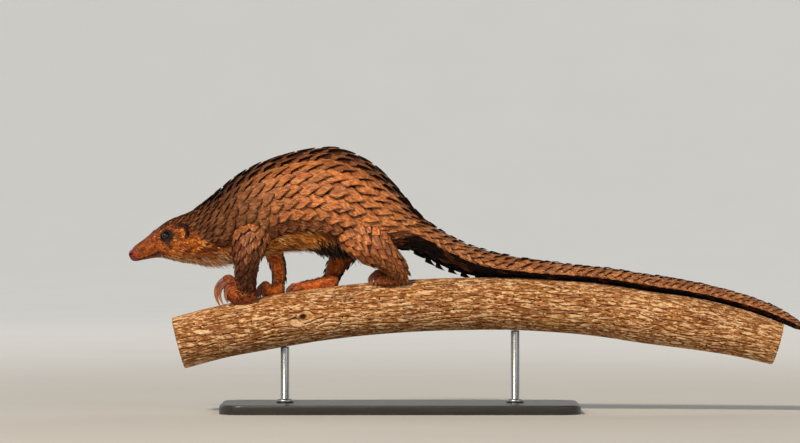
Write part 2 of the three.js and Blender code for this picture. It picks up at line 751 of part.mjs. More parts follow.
LEGS.forEach((leg, index) => {
  const out = leg.side === 'left' ? -1 : 1;
  const track = makeTrack(mirrored(leg.line, out), FORWARD);
  const soleTrack = makeTrack(mirrored(leg.sole, out), UP);
  const suffix = leg.side;

  // The leg: scales cover its outer side, and the inner side is bare.
  const outward = out * 90 * DEGREES;
  const lengths = evenLengths(0, track.length, leg.spacing);
  const tube = scaledTube(track, leg.columns, lengths, {
    keeled: false,
    isScaled: (s, angle) => {
      const fromOutside = Math.abs(THREE.MathUtils.euclideanModulo(
        angle - outward + Math.PI, 2 * Math.PI) - Math.PI);
      return s > leg.hidden && fromOutside < 112 * DEGREES;
    },
    thicknessAt: () => leg.thickness,
    liftAt: (s, angle, variation) => leg.thickness * 0.3 * variation,
    seed: SEED + 100 * (index + 1),
  });
  const legRoom = smoothTube(track, leg.columns, lengths, GAP + LEG_SLACK);
  cutFromBody(legRoom, TRUNK_NAMES);

  const soleLengths = evenLengths(0, soleTrack.length, SOLE_SPACING);
  const soleRoom = smoothTube(soleTrack, SOLE_SIDES, soleLengths, GAP);
  let foot = smoothTube(soleTrack, SOLE_SIDES, soleLengths);
  const bare = tube.subtract(branchRoom).subtract(soleRoom);
  addNode(`${leg.name}_${suffix}_upper`, trimAt(bare, track, leg.parted, false), 0x8d6242, 0.62);
  addNode(`${leg.name}_${suffix}_lower`, trimAt(bare, track, leg.parted, true), 0x84553a, 0.66);

  // Five digits, each a short toe with a curved claw sunk in its end.
  const { at, length, depth, spread, hook } = leg.claw;
  const claws = DIGITS.map(({ across, size, back }) => {
    const reach = length * size;
    const thick = depth * (0.45 + 0.55 * size);
    const root = new THREE.Vector3(
      at[0] + back * length * 0.5, out * (at[1] + across * spread), at[2] - back * length * 0.85);
    const bend = root.clone().add(new THREE.Vector3(-0.55 * reach, 0, -0.3 * reach));
    const end = root.clone().add(new THREE.Vector3(
      (-0.48 + 0.34 * hook) * reach, out * 0.04 * reach, -0.94 * reach));
    end.z = Math.max(end.z, branchHeight(end.x, end.y) + CLAW_CLEARANCE);
    const heel = root.clone().add(new THREE.Vector3(0.3 * length * 0.8 + 3, 0, -0.12 * reach - 3));
    return { root, bend, end, heel, thick };
  });
  claws.forEach(({ root, bend, end, heel, thick }, digit) => {
    const ahead = bend.clone().sub(root).normalize();
    const toeEnd = root.clone().addScaledVector(ahead, -1.5 * GAP);
    const crest = toeEnd.clone().addScaledVector(ahead, -0.6 * heel.distanceTo(root));
    foot = foot.add(toeSolid(heel, crest, toeEnd, thick).subtract(legRoom));
    const claw = hornTube(root, bend, end, thick, thick * CLAW_NARROWNESS);
    addNode(
      `claw_${leg.foot}_${suffix}_${digit + 1}`, claw.subtract(branchRoom), 0x8f7055, 0.42);
  });
  for (const { root, bend, end, thick } of claws) {
    foot = foot.subtract(hornTube(root, bend, end, thick, thick * CLAW_NARROWNESS, GAP));
  }
  addNode(`${leg.foot}_${suffix}`, foot.subtract(branchRoom), 0x9c5a30, 0.7);
});

// A toe: a short tube through three points, with a flat end that carries the claw. It is a little
// deeper and wider than the claw's root.
function toeSolid(heel, crest, knuckle, thick) {
  const curve = new THREE.QuadraticBezierCurve3(heel, crest, knuckle);
  const shell = new Shell();
  const sides = 5;
  const [depth, width] = [1.2 * thick, 1.25 * CLAW_NARROWNESS * thick];
  const stops = [[0, 0.8], [0.5, 1.05], [1, 0.95]];
  const across = new THREE.Vector3(0, 1, 0);
  const loops = stops.map(([t, share]) => {
    const out = curve.getTangent(t).cross(across).normalize();
    const loop = [];
    for (let j = 0; j < sides; j += 1) {
      const angle = (2 * Math.PI * j) / sides;
      const point = curve.getPoint(t).addScaledVector(out, Math.cos(angle) * depth * share);
      loop.push(shell.add(point.addScaledVector(across, Math.sin(angle) * width * share)));
    }
    return loop;
  });
  const start = shell.add(heel);
  const end = shell.add(knuckle);
  for (let j = 0; j < sides; j += 1) {
    const next = (j + 1) % sides;
    for (let i = 0; i + 1 < loops.length; i += 1) {
      shell.face(loops[i][j], loops[i + 1][j], loops[i + 1][next]);
      shell.face(loops[i][j], loops[i + 1][next], loops[i][next]);
    }
    shell.face(start, loops[0][j], loops[0][next]);
    shell.face(end, loops[loops.length - 1][next], loops[loops.length - 1][j]);
  }
  return shell.toSolid();
}

// Head features

// The way out of the skin of a track at a length along it and an angle round it.
function skinNormal(track, s, angle) {
  const step = 0.4;
  const ahead = skinPoint(track, s + step, angle).sub(skinPoint(track, s - step, angle));
  const round = skinPoint(track, s, angle + 0.05).sub(skinPoint(track, s, angle - 0.05));
  return round.cross(ahead).normalize();
}

// A stretched ball or ring, whose own x, y and z point backwards, upwards and outwards.
function placed(geometry, centre, outward, sizes) {
  const back = new THREE.Vector3(0, 0, 1).cross(outward).normalize();
  const up = outward.clone().cross(back);
  const basis = new THREE.Matrix4().makeBasis(back, up, outward);
  basis.scale(new THREE.Vector3(...sizes));
  return solidFrom(geometry.applyMatrix4(basis.setPosition(centre)));
}

const head = bodySolids.get('head');
const featureAt = (x, angle, side) => {
  const s = lengthAtX(bodyTrack, x);
  const turned = angle * DEGREES * side;
  return { skin: skinPoint(bodyTrack, s, turned), outward: skinNormal(bodyTrack, s, turned) };
};

// A tube along the line of the mouth from one corner to the other, thinner towards the corners, and
// turned up by an angle.
function mouthTube(radius, turnedUp) {
  const right = MOUTH.line.slice(1).reverse().map(([x, angle]) => [x, -angle]);
  const rows = [...right, ...MOUTH.line].map(([x, angle], k, all) => {
    const turned = angle - Math.sign(angle) * turnedUp * (Math.abs(angle) === 180 ? 0 : 1);
    const point = skinPoint(bodyTrack, lengthAtX(bodyTrack, x), turned * DEGREES);
    const size = radius * (k === 0 || k === all.length - 1 ? 0.4 : 1);
    return [point.x, point.y, point.z, size, size, size];
  });
  const track = makeTrack(rows, UP);
  return smoothTube(track, 5, evenLengths(0, track.length, 11));
}

// The nose pad is a blunt ball round the tip of the muzzle.
const nosePad = placed(
  new THREE.SphereGeometry(1, 10, 8), new THREE.Vector3(NOSE.x, 0, NOSE.z), new THREE.Vector3(0, -1, 0),
  [NOSE.length, NOSE.height, NOSE.width]);
head.solid = head.solid.add(nosePad).add(mouthTube(MOUTH.lip, MOUTH.lipAngle));
head.solid = head.solid.subtract(mouthTube(MOUTH.groove, 0));

for (const [side, sign] of [['left', 1], ['right', -1]]) {
  // An eye is a ball in a socket, ringed by lids.
  const eye = featureAt(EYE.x, EYE.angle, sign);
  const eyeCentre = eye.skin.clone().addScaledVector(eye.outward, -EYE.depth);
  const ball = (grow) => placed(
    new THREE.SphereGeometry(EYE.radius + grow, 8, 6), eyeCentre, eye.outward, [1, 1, 1]);
  const lids = placed(
    new THREE.TorusGeometry(EYE.opening, EYE.lid, 4, 10),
    eye.skin.clone().addScaledVector(eye.outward, -0.35 * EYE.lid), eye.outward, [1.24, 0.98, 1]);
  head.solid = head.solid.add(lids).subtract(ball(GAP));
  addNode(`eye_${side}`, ball(0), 0x14100d, 0.08);

  // An ear is a low upright fold, hollowed on its front side.
  const ear = featureAt(EAR.x, EAR.angle, sign);
  const fold = (grow) => placed(
    new THREE.SphereGeometry(1, 8, 6), ear.skin, ear.outward,
    [EAR.width + grow, EAR.height + grow, EAR.outward + grow]);
  const cupCentre = ear.skin.clone().addScaledVector(ear.outward, EAR.outward * 0.5);
  cupCentre.x -= EAR.width * 0.42;
  const cup = placed(
    new THREE.SphereGeometry(1, 6, 5), cupCentre, ear.outward,
    [EAR.width - EAR.wall, EAR.height - EAR.wall, EAR.outward - EAR.wall * 0.5]);
  head.solid = head.solid.subtract(fold(GAP));
  addNode(`ear_${side}`, fold(0).subtract(cup), 0xa4683a, 0.75);

  // The nostrils are two short slits in the nose pad.
  const nostril = featureAt(NOSTRIL.x, NOSTRIL.angle, sign);
  head.solid = head.solid.subtract(placed(
    new THREE.SphereGeometry(1, 6, 4), nostril.skin, nostril.outward,
    [NOSTRIL.length, NOSTRIL.width, NOSTRIL.depth]));
}

for (const [name, { solid, colour }] of bodySolids) {
  addNode(name, solid, colour, 0.6);
}

addNode('perch', branchSolid(), 0xb98b55, 0.85);

// Stand

function roundedPlate({ length, width, thickness, corner }) {
  const outline = new THREE.Shape();
  const [x, y] = [length / 2, width / 2];
  outline.moveTo(-x + corner, -y);
  outline.lineTo(x - corner, -y);
  outline.absarc(x - corner, -y + corner, corner, -Math.PI / 2, 0);
  outline.absarc(x - corner, y - corner, corner, 0, Math.PI / 2);
  outline.absarc(-x + corner, y - corner, corner, Math.PI / 2, Math.PI);
  outline.absarc(-x + corner, -y + corner, corner, Math.PI, Math.PI * 1.5);
  return new THREE.ExtrudeGeometry(outline, { depth: thickness, bevelEnabled: false, curveSegments: 4 });
}

addNode('stand_base', solidFrom(roundedPlate(BASE)), 0x3b3a38, 0.5);
for (const [place, x] of Object.entries(ROD.x)) {
  const bottom = BASE.thickness + GAP;
  const top = sectionAt(branchTrack, lengthAtX(branchTrack, x)).centre.z;
  const rod = new THREE.CylinderGeometry(ROD.radius, ROD.radius, top - bottom, ROD.sides);
  rod.rotateX(Math.PI / 2);
  rod.translate(x, 0, (top + bottom) / 2);
  addNode(`stand_rod_${place}`, solidFrom(rod).subtract(branchRoom), 0x8a8c8e, 0.35, 1);
}

export default group;
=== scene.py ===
"""Skin, scales, fur, claws, perch and stand of a life-size tree pangolin on a branch.

Sizes in tables are millimetres. The animal faces -X, its left side is at -Y, and +Z is up.
"""

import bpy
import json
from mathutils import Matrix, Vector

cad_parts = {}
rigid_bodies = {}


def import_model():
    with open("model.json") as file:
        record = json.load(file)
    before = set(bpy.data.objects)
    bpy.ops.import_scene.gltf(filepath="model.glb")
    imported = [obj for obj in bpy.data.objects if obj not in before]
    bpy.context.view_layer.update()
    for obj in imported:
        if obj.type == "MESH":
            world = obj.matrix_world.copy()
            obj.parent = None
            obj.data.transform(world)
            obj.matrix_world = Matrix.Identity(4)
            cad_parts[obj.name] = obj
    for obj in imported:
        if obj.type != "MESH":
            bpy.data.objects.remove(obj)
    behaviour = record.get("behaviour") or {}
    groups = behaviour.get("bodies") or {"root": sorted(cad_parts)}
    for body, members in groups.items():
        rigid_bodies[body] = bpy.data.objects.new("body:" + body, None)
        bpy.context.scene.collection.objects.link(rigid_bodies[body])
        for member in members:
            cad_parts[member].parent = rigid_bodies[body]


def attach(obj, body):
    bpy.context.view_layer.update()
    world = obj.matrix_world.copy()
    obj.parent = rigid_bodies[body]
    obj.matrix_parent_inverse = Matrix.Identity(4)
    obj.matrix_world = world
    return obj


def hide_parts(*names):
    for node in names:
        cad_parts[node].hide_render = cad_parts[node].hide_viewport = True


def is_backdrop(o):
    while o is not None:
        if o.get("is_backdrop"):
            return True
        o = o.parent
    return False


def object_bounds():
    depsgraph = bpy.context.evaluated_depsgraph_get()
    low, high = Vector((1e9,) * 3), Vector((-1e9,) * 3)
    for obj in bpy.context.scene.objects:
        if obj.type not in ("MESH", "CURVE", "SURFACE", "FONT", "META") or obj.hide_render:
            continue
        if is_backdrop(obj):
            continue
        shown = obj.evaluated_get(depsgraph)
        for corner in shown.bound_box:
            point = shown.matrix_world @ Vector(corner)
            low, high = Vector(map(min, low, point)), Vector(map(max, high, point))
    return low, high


bl_info = {
    "name": "Tree pangolin on a branch",
    "version": (1, 0, 0),
    "blender": (4, 5, 0),
    "location": "View3D > Sidebar > Pangolin",
    "description": "Builds a life-size tree pangolin with its scales, fur, claws, perch and stand",
    "category": "Add Mesh",
}

import json
import math

import bpy
import numpy as np
from mathutils import Vector

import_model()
CAD_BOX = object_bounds()

MM = 0.001
ROUND = 2 * math.pi
UP = (0, 0, 1)
FORWARD = (-1, 0, 0)

# The body's line from the nose to the tip of the tail: x, y, z, the height above and below the
# line, half the width, and the roll in degrees.
BODY = [
    [-348.6, 0, 201, 0.5, 0.5, 0.5, 0], [-347.8, 0, 201.2, 3.6, 3.4, 3.5, 0],
    [-346, 0, 201.5, 6, 5.8, 5.8, 0], [-342.5, 0, 202, 8.1, 8, 7.9, 0], [-333, 0, 206, 11.2, 11, 10.5, 0],
    [-321, 0, 211, 14.5, 14, 13.5, 0], [-308, 0, 216, 19.5, 19.5, 18, 0],
    [-293, 0, 220.5, 25.3, 27.5, 22.5, 0], [-275, 0, 224.5, 29.2, 33, 26, 0],
    [-257, 0, 228, 33.5, 37.5, 29.5, 0], [-236, 0, 235, 39, 43.5, 35, 0], [-211, 0, 245, 46.5, 51, 43, 0],
    [-182, 0, 257, 55, 58, 50, 0], [-153, 0, 266, 60.5, 61, 55, 0], [-122, 0, 270, 66, 63, 57, 0],
    [-94, 0, 268, 72, 64, 58, 0], [-68, 0, 262, 68, 61, 58, 0], [-43, 0, 253, 58, 53, 55, 0],
    [-20, 0, 243, 45, 40, 50, 2], [0, 1, 232, 33.5, 25, 43, 6], [20, 2, 221, 27.5, 12, 37, 12],
    [39, 4, 209.5, 26.5, 6.5, 34, 16], [65, 6, 196.5, 26, 5, 32, 17], [93, 7.5, 186, 25.5, 4.6, 30.5, 16],
    [129, 8.5, 178, 24, 4, 29, 15], [180, 8.7, 172.5, 22, 3.4, 27, 15], [249, 8.7, 168.5, 18, 3.1, 25, 14],
    [319, 8.5, 158.5, 18.2, 3, 23, 14], [387, 8, 148, 17, 3, 21, 14], [437, 7, 136, 16.3, 2.8, 19.5, 14],
    [476, 6, 124.5, 13, 2.6, 17, 13], [499, 5, 115.5, 10, 2.6, 13.5, 12], [513, 4.5, 109, 6.2, 2.3, 9, 12],
    [519, 4.3, 106.5, 1.2, 1, 1.8, 12],
]

# By the body's x: how far round from the middle of the back the scales reach, in degrees, and the
# spacing of their rings. Two rings make one visible length.
SCALE_REACH = [
    [-318, 0], [-306, 16], [-296, 28], [-282, 46], [-270, 62], [-261, 86], [-250, 106], [-239, 119],
    [-215, 126], [-180, 131], [-100, 131], [-60, 140], [-20, 152], [-4, 180],
]
SCALE_SPACING = [
    [-318, 3.3], [-290, 4], [-262, 5.1], [-228, 6.6], [-180, 8.6], [-60, 9.4], [0, 8.8], [40, 8.3],
    [150, 7.2], [300, 6], [430, 5], [519, 3.8],
]
# How far a scale's tip stands over its root, and how much more its last part lifts, by x.
SCALE_RISE = [[-318, 0.8], [-262, 1.4], [-228, 1.9], [-150, 2], [0, 2.2], [60, 2.4], [150, 2.2], [519, 1.1]]
SCALE_LIFT = [[-318, 0.2], [-262, 0.4], [-228, 0.5], [-150, 0.5], [0, 0.6], [150, 0.8], [519, 0.4]]
# Half width of a scale against its column of the lattice. Wide ones lap over their neighbours.
SCALE_WIDTH = [[-318, 0.9], [-270, 0.8], [-235, 0.72], [-170, 0.66], [-30, 0.66], [20, 0.74], [519, 0.82]]
# Brightness of the horn along the body, and how grey it is.
SCALE_TONE = [
    [-318, 0.5], [-270, 0.34], [-235, 0.28], [-205, 0.36], [-170, 0.76], [-130, 1], [-60, 1.05], [0, 1.12],
    [40, 0.92], [519, 0.88],
]
SCALE_GREY = [[-318, 0], [-235, 0.2], [-190, 0.5], [-130, 0], [-60, 0.1], [0, 0.45], [60, 0.8], [519, 0.8]]
# How far the tips of the tail's edge rows hang down, by x.
TAIL_TEETH = [[0, 0], [14, 5.5], [100, 5], [150, 1.6], [519, 0.6]]
# Runs of the body's scales: name, the x where each starts and ends, and its columns.
SCALE_RUNS = [
    ("scales_neck", -318, -224, 34), ("scales_trunk", -224, 6, 24),
    ("scales_tail_root", 6, 152, 16), ("scales_tail", 152, 513, 12),
]

# The legs. The line runs from inside the body to the ankle: x, the distance out from the middle
# plane, z, the reach forwards and backwards, and half the width. The foot runs from the heel to
# the toes, with the height above and below its line and half the width. Each leg has its side,
# the columns, spacing and reach in degrees of its scales, the part of its top that is hidden in
# the body, the tone and redness of the scales, how wide and slanted they are, how much darker they
# get downwards, the colour inside and of the foot, the scaled share of the foot, and its middle claw.
LEGS = [
    {"name": "foreleg_left", "out": -1, "columns": 16, "spacing": 5.4, "reach": 118, "hidden": 8,
     "tone": 0.9, "red": 0.95, "width": 0.9, "yaw": 12, "fade": 0.68, "inner": "#c8681e",
     "foot_colour": "#8c3e14", "foot_scales": 0.45,
     "claw": {"at": (-224, 12, 170), "length": 38, "depth": 4.4, "spread": 10.6, "hook": 1},
     "line": [
         [-186, 21, 252, 27, 27, 17], [-189, 32, 231, 27, 26, 18], [-193, 40, 210, 22, 20, 15.5],
         [-196, 37, 190, 16.5, 15.5, 13], [-197, 29, 175, 14, 13.5, 11.5], [-197, 20, 161, 12.6, 12, 11]],
     "foot": [
         [-184.5, 17, 160, 1.3, 1.3, 2], [-187, 17, 158.5, 7.7, 9, 7], [-196, 16, 154.5, 11, 16, 10.5],
         [-206, 14, 153, 10.3, 16, 11.5], [-215, 12.5, 154.5, 9, 12, 11.5],
         [-219, 12, 159.5, 7.6, 8.5, 10.5], [-221.5, 12, 164.5, 4.1, 4.6, 7]]},
    # The right foreleg's inner colour is brighter than the other legs' as painted light, where sunlight
    # falls on it.
    {"name": "foreleg_right", "out": 1, "columns": 14, "spacing": 5.2, "reach": 100, "hidden": 10,
     "tone": 0.85, "red": 0.75, "width": 0.84, "yaw": 12, "fade": 0.6, "inner": "#f07e2e",
     "foot_colour": "#9c4a18", "foot_scales": 0.35,
     "claw": {"at": (-176, 14.5, 163), "length": 22, "depth": 3.4, "spread": 8.2, "hook": 0.8},
     "line": [
         [-178, 21, 246, 22, 22, 17], [-171, 32, 224, 18.5, 17.5, 15], [-163, 37, 203, 12.2, 11.6, 11.5],
         [-158, 33, 186, 10, 9.8, 10], [-156, 25, 172, 9, 8.7, 9.2], [-158, 18, 160, 8, 8, 9]],
     "foot": [
         [-149, 17.5, 164, 1.3, 1.3, 2], [-152, 17.5, 162.5, 6.4, 8, 6], [-159, 17, 158.5, 8.5, 14, 9],
         [-166.5, 16, 156, 7.7, 12.5, 10], [-173, 15, 157, 6.7, 10.5, 9.5],
         [-177, 14.5, 159.5, 3.9, 5, 6]]},
    {"name": "hindleg_left", "out": -1, "columns": 22, "spacing": 6.4, "reach": 125, "hidden": 6,
     "tone": 1.1, "red": 0.4, "width": 0.98, "yaw": 50, "fade": 0.34, "inner": "#b85c1a",
     "foot_colour": "#8c441c", "foot_scales": 0.8,
     "claw": {"at": (-31, 14, 178), "length": 23, "depth": 3.4, "spread": 8.4, "hook": 0.6},
     "line": [
         [-54, 26, 252, 38, 38, 22], [-46, 34, 231, 36, 34.5, 20], [-32, 41, 212, 26.5, 25.5, 18],
         [-17, 39, 197.5, 18.3, 18.3, 15], [-5, 31, 186, 14.4, 14.7, 12.5],
         [0, 22, 176, 12.2, 12.2, 11.5]],
     "foot": [
         [8.5, 19, 179.5, 1.3, 1.3, 2], [5, 19, 178, 7.7, 7.7, 7], [-4, 18, 173.5, 11, 12, 10.5],
         [-15, 16, 170.5, 9.8, 9.8, 11.5], [-26, 14.5, 170.5, 8.7, 9, 11.5],
         [-32, 14, 172, 5.5, 5.5, 8.5]]},
    {"name": "hindleg_right", "out": 1, "columns": 16, "spacing": 5.8, "reach": 95, "hidden": 10,
     "tone": 0.9, "red": 0.5, "width": 0.78, "yaw": 40, "fade": 0.55, "inner": "#b4571a",
     "foot_colour": "#b45c14", "foot_scales": 0.7,
     "claw": {"at": (-139, 14.5, 161), "length": 18, "depth": 3, "spread": 8, "hook": 0.5},
     "line": [
         [-64, 26, 240, 31, 31, 20], [-68, 34, 216, 23, 22, 16], [-76, 38, 197, 15.7, 15, 12.5],
         [-85, 32, 182, 12, 11.8, 11], [-89, 23, 171, 10, 10, 10]],
     "foot": [
         [-79.5, 19, 173, 1.3, 1.3, 2], [-82, 19, 171.5, 6.4, 6.4, 6], [-90, 18, 168, 8.5, 14, 9.5],
         [-105, 17, 164.5, 7.7, 12, 10], [-123, 16, 161, 7.2, 10.5, 10.5],
         [-134, 15, 159, 6.5, 9.5, 10.5], [-139, 14.5, 158.5, 4, 5, 7]]},
]
# The digits of a foot: place across the spread, length against the middle claw's, and set back.
DIGITS = [(-1, 0.5, 0.34), (-0.52, 0.82, 0.1), (0, 1, 0), (0.52, 0.78, 0.12), (1, 0.52, 0.36)]
CLAW_NARROWNESS = 0.6
CLAW_CLEARANCE = 0.6

# The head's features by x and by the angle round the body's line from the top of the head.
EYE = {"x": -299, "angle": 69, "radius": 5.9, "depth": 3.6, "long": 5.3, "tall": 4.5, "tilt": 16}
EAR = {"x": -277.5, "angle": 75, "height": 9.2, "width": 5.2, "rise": 2.9, "pit": 2.4}
MOUTH = [[-346.2, 180], [-344.4, 158], [-338, 146], [-326, 139], [-313.5, 125]]
NOSTRIL = {"x": -345.4, "angle": 82, "long": 2.3, "tall": 1.15, "depth": 2.6}

# The branch's line: x, y, z and radius. No part of it is higher than its top.
BRANCH = [
    [-285, 0, 88.5, 33.4], [-230, 0, 103, 33.4], [-184, 0, 112, 33.7], [-145, 0, 119, 33.8],
    [-105, 0, 125, 33.4], [-46, 0, 132, 33.4], [26, 0, 137.2, 33.4], [90, 0, 139.1, 33.4],
    [147, 0, 139, 33.4], [198, 0, 136.3, 33.4], [249, 0, 132, 33.6], [319, 0, 121.5, 33.4],
    [387, 0, 112, 32.7], [437, 0, 101.5, 30.2], [486, 0, 87, 27],
]
BRANCH_TOP = 178
BRANCH_GAP = 0.35
BARK = {"length": 26, "width": 5.4, "flake_length": 9, "flake_width": 2.7,
        "flake_depth": 0.8, "step_along": 1.7, "step_round": 1.02}
KNOT = {"x": -124, "angle": 88, "radius": 8.5}

BASE = {"length": 460, "width": 190, "thickness": 12, "corner": 30, "round": 3}
RODS = {"front": -148, "rear": 148}

# The round studio in metres: its radius, the radius of the curve between floor and wall, its
# height, and the glow of its far parts. Then the camera's distance, height and lens.
STUDIO = {"radius": 15, "curve": 5, "height": 7, "glow": 0.62}
CAMERA = {"distance": 5.715, "height": 0.2449, "lens": 200, "sensor": 36}
# Soft lights: name, place, size, power, colour and the angle over which they spread.
LIGHTS = [
    ("key_warm", (-3.2, -6.4, 5.8), (1.2, 1.2), 134, (1.0, 0.85, 0.68), 80),
    ("fill_soft", (2.8, -3.2, 1.6), (2.4, 1.8), 14, (0.92, 0.96, 1.0), 180),
    ("rim_back", (1.6, 2.4, 1.9), (1.6, 1.2), 12, (1.0, 0.96, 0.9), 180),
    ("rim_front", (-2.2, 2.2, 1.7), (1.6, 1.2), 14, (0.95, 0.97, 1.0), 180),
]

# Usual sizes behind the settings: tip lift and belly hair in metres, tufts on a square centimetre.
TIP_LIFT = 0.0005
BELLY_HAIR = 0.01
TUFTS = 42

FLESH = (
    ["head", "neck", "shoulders", "back", "rump", "ear_left", "ear_right"]
    + [f"tail_{k}" for k in range(1, 7)]
    + [f"{leg['name']}_{part}" for leg in LEGS for part in ("upper", "lower")]
    + [leg["name"].replace("leg", "foot") for leg in LEGS]
)


def linear(code):
    """A hex sRGB colour as linear red, green and blue."""
    channels = [int(code[k:k + 2], 16) / 255 for k in (1, 3, 5)]
    return tuple(c / 12.92 if c <= 0.04045 else ((c + 0.055) / 1.055) ** 2.4 for c in channels)


def look_up(table, x):
    """Values at x of a table of x and value rows, straight between the rows."""
    return np.interp(x, *np.array(table, float).T)


def smooth(low, high, x):
    """0 below low and 1 above high, with a soft turn at both."""
    t = np.clip((np.asarray(x, float) - low) / (high - low), 0, 1)
    return t * t * (3 - 2 * t)


def bump_at(x, middle, spread):
    """1 at the middle, fading to 0 on both sides."""
    return np.exp(-(((x - middle) / spread) ** 2))


def unit(vectors):
    """Vectors of length one."""
    return vectors / np.maximum(np.linalg.norm(vectors, axis=-1, keepdims=True), 1e-9)


def turns(count):
    """Angles spaced evenly round a circle."""
    return ROUND * np.arange(count) / count


def circle(angle):
    """Points of a circle of radius one at angles."""
    return np.stack([np.cos(angle), np.sin(angle)], -1)


def signed(angle):
    """Angles of a whole turn as angles to either side of the top."""
    return np.where(angle > math.pi, angle - ROUND, angle)


def wrapped(angle):
    """Any angles brought to within half a turn of zero."""
    return (angle + math.pi) % ROUND - math.pi


class Track:
    """A smooth line through rows of a point and sizes, measured by the length along it."""

    STEP = 0.5
    BLOCK = 20000

    def __init__(self, rows, reference=UP):
        rows = np.array(rows, float)
        if rows.shape[1] == 4:
            rows = rows[:, [0, 1, 2, 3, 3, 3]]
        rows = np.hstack([rows, np.zeros((len(rows), 7 - rows.shape[1]))])
        chords = np.linalg.norm(np.diff(rows[:, :3], axis=0), axis=1)
        knots = np.concatenate([[0], np.cumsum(chords)])
        rates = np.diff(rows, axis=0) / chords[:, None]
        before, after = chords[:-1, None], chords[1:, None]
        inner = (rates[:-1] * after + rates[1:] * before) / (before + after)
        # Sizes and roll never swing past the rows that they pass through.
        limit = 3 * np.minimum(abs(rates[:-1]), abs(rates[1:]))
        held = np.sign(inner) * np.minimum(abs(inner), limit) * (rates[:-1] * rates[1:] > 0)
        slopes = np.vstack([rates[:1], np.hstack([inner[:, :3], held[:, 3:]]), rates[-1:]])
        self.length = knots[-1]
        self.s = np.linspace(0, self.length, int(self.length / self.STEP) + 2)
        k = np.clip(np.searchsorted(knots, self.s, side="right") - 1, 0, len(rows) - 2)
        span = chords[k][:, None]
        t = (self.s - knots[k])[:, None] / span
        corners = (rows[k], slopes[k] * span, rows[k + 1], slopes[k + 1] * span)
        places = (2 * t**3 - 3 * t**2 + 1, t**3 - 2 * t**2 + t, 3 * t**2 - 2 * t**3, t**3 - t**2)
        steps = (6 * t**2 - 6 * t, 3 * t**2 - 4 * t + 1, 6 * t - 6 * t**2, 3 * t**2 - 2 * t)
        self.values = sum(share * corner for share, corner in zip(places, corners))
        along = unit(sum(share * corner for share, corner in zip(steps, corners))[:, :3])
        up = np.array(reference, float)
        up = unit(up - along * (along @ up)[:, None])
        across = np.cross(along, up)
        cosine, sine = np.cos(np.radians(self.values[:, 6:])), np.sin(np.radians(self.values[:, 6:]))
        self.frames = np.hstack([along, up * cosine - across * sine, across * cosine + up * sine])

    def sections(self, s):
        """Centres, ways along, up and across, and sizes above, below and aside, at lengths s."""
        s = np.asarray(s, float)
        inside = np.clip(s, 0, self.length)
        place = inside / self.s[1]
        k = np.clip(place.astype(int), 0, len(self.s) - 2)
        t = (place - k)[..., None]
        values, frames = (each[k] * (1 - t) + each[k + 1] * t for each in (self.values, self.frames))
        along, up, across = (unit(frames[..., c:c + 3]) for c in (0, 3, 6))
        centre = values[..., :3] + along * (s - inside)[..., None]
        return centre, along, up, across, values[..., 3], values[..., 4], values[..., 5]

    def skin(self, s, angle, height=0.0):
        """Points at lengths s and angles from the top, raised by a height over the outline."""
        centre, _, up, across, above, below, side = self.sections(s)
        cosine = np.cos(angle)
        rise = cosine * (np.where(cosine >= 0, above, below) + height)
        swing = np.sin(angle) * (side + height)
        return centre + up * rise[..., None] + across * swing[..., None]

    def girth_rate(self, s, angle):
        """Millimetres round the outline for each radian of angle."""
        above, below, side = self.sections(s)[4:]
        tall = np.where(np.cos(angle) >= 0, above, below)
        return np.hypot(tall * np.sin(angle), side * np.cos(angle))

    def at_x(self, x):
        """The length at which the line reaches x, where x grows along it."""
        return np.interp(x, self.values[:, 0], self.s)

    def x_at(self, s):
        """The line's x at a length."""
        return np.interp(s, self.s, self.values[:, 0])

    def locate(self, points):
        """For each point the nearest length, its angle, and how far it is outside the outline."""
        centres, lengths = self.values[::4, :3], self.s[::4]
        squares = (centres**2).sum(1)
        s = np.empty(len(points))
        for k in range(0, len(points), self.BLOCK):
            block = points[k:k + self.BLOCK]
            s[k:k + self.BLOCK] = lengths[np.argmin(squares - 2 * block @ centres.T, axis=1)]
        for _ in range(2):
            centre, along = self.sections(s)[:2]
            s = np.clip(s + ((points - centre) * along).sum(1), -2, self.length + 2)
        centre, along, up, across, above, below, side = self.sections(s)
        rise, swing, past = (((points - centre) * way).sum(1) for way in (up, across, along))
        tall = np.where(rise >= 0, above, below)
        share = np.maximum(np.hypot(rise / tall, swing / side), 1e-6)
        gap = np.hypot(rise, swing) * (1 - 1 / share) + np.maximum(0, abs(past) - 0.5)
        return s, np.arctan2(swing / side, rise / tall), gap


body_track = Track(BODY)
branch_track = Track(BRANCH)
for leg in LEGS:
    for key, rows, reference in (("track", leg["line"], FORWARD), ("sole", leg["foot"], UP)):
        leg[key] = Track([[x, y * leg["out"], *rest] for x, y, *rest in rows], reference)

PARTS = [body_track] + [leg["track"] for leg in LEGS] + [leg["sole"] for leg in LEGS]


def bake_place(part, s, angle):
    """Where a place on the skin lies in the flat layout: the body above, legs and feet below."""
    share = np.clip(s / PARTS[part].length, 0, 1)
    turn = angle / ROUND + 0.5
    if part == 0:
        return np.stack([0.01 + 0.98 * share, 0.37 + 0.61 * turn], -1)
    row, column = divmod(part - 1, 4)
    return np.stack([0.015 + 0.25 * column + 0.22 * share, 0.19 - 0.18 * row + 0.15 * turn], -1)


def clear_of_branch(points, gap=BRANCH_GAP):
    """Points pushed out of the branch along its radius."""
    near = points[..., 2] < BRANCH_TOP
    flat = points[near]
    if not len(flat):
        return points
    s = branch_track.locate(flat)[0]
    centre, along, _, _, radius, _, _ = branch_track.sections(s)
    offset = flat - centre
    offset -= along * (offset * along).sum(1)[:, None]
    reach = np.linalg.norm(offset, axis=1)
    short = np.maximum(0, radius + gap - reach) * ((s > 0) & (s < branch_track.length))
    moved = points.copy()
    moved[near] = flat + offset / np.maximum(reach, 1e-6)[:, None] * short[:, None]
    return moved


# Meshes


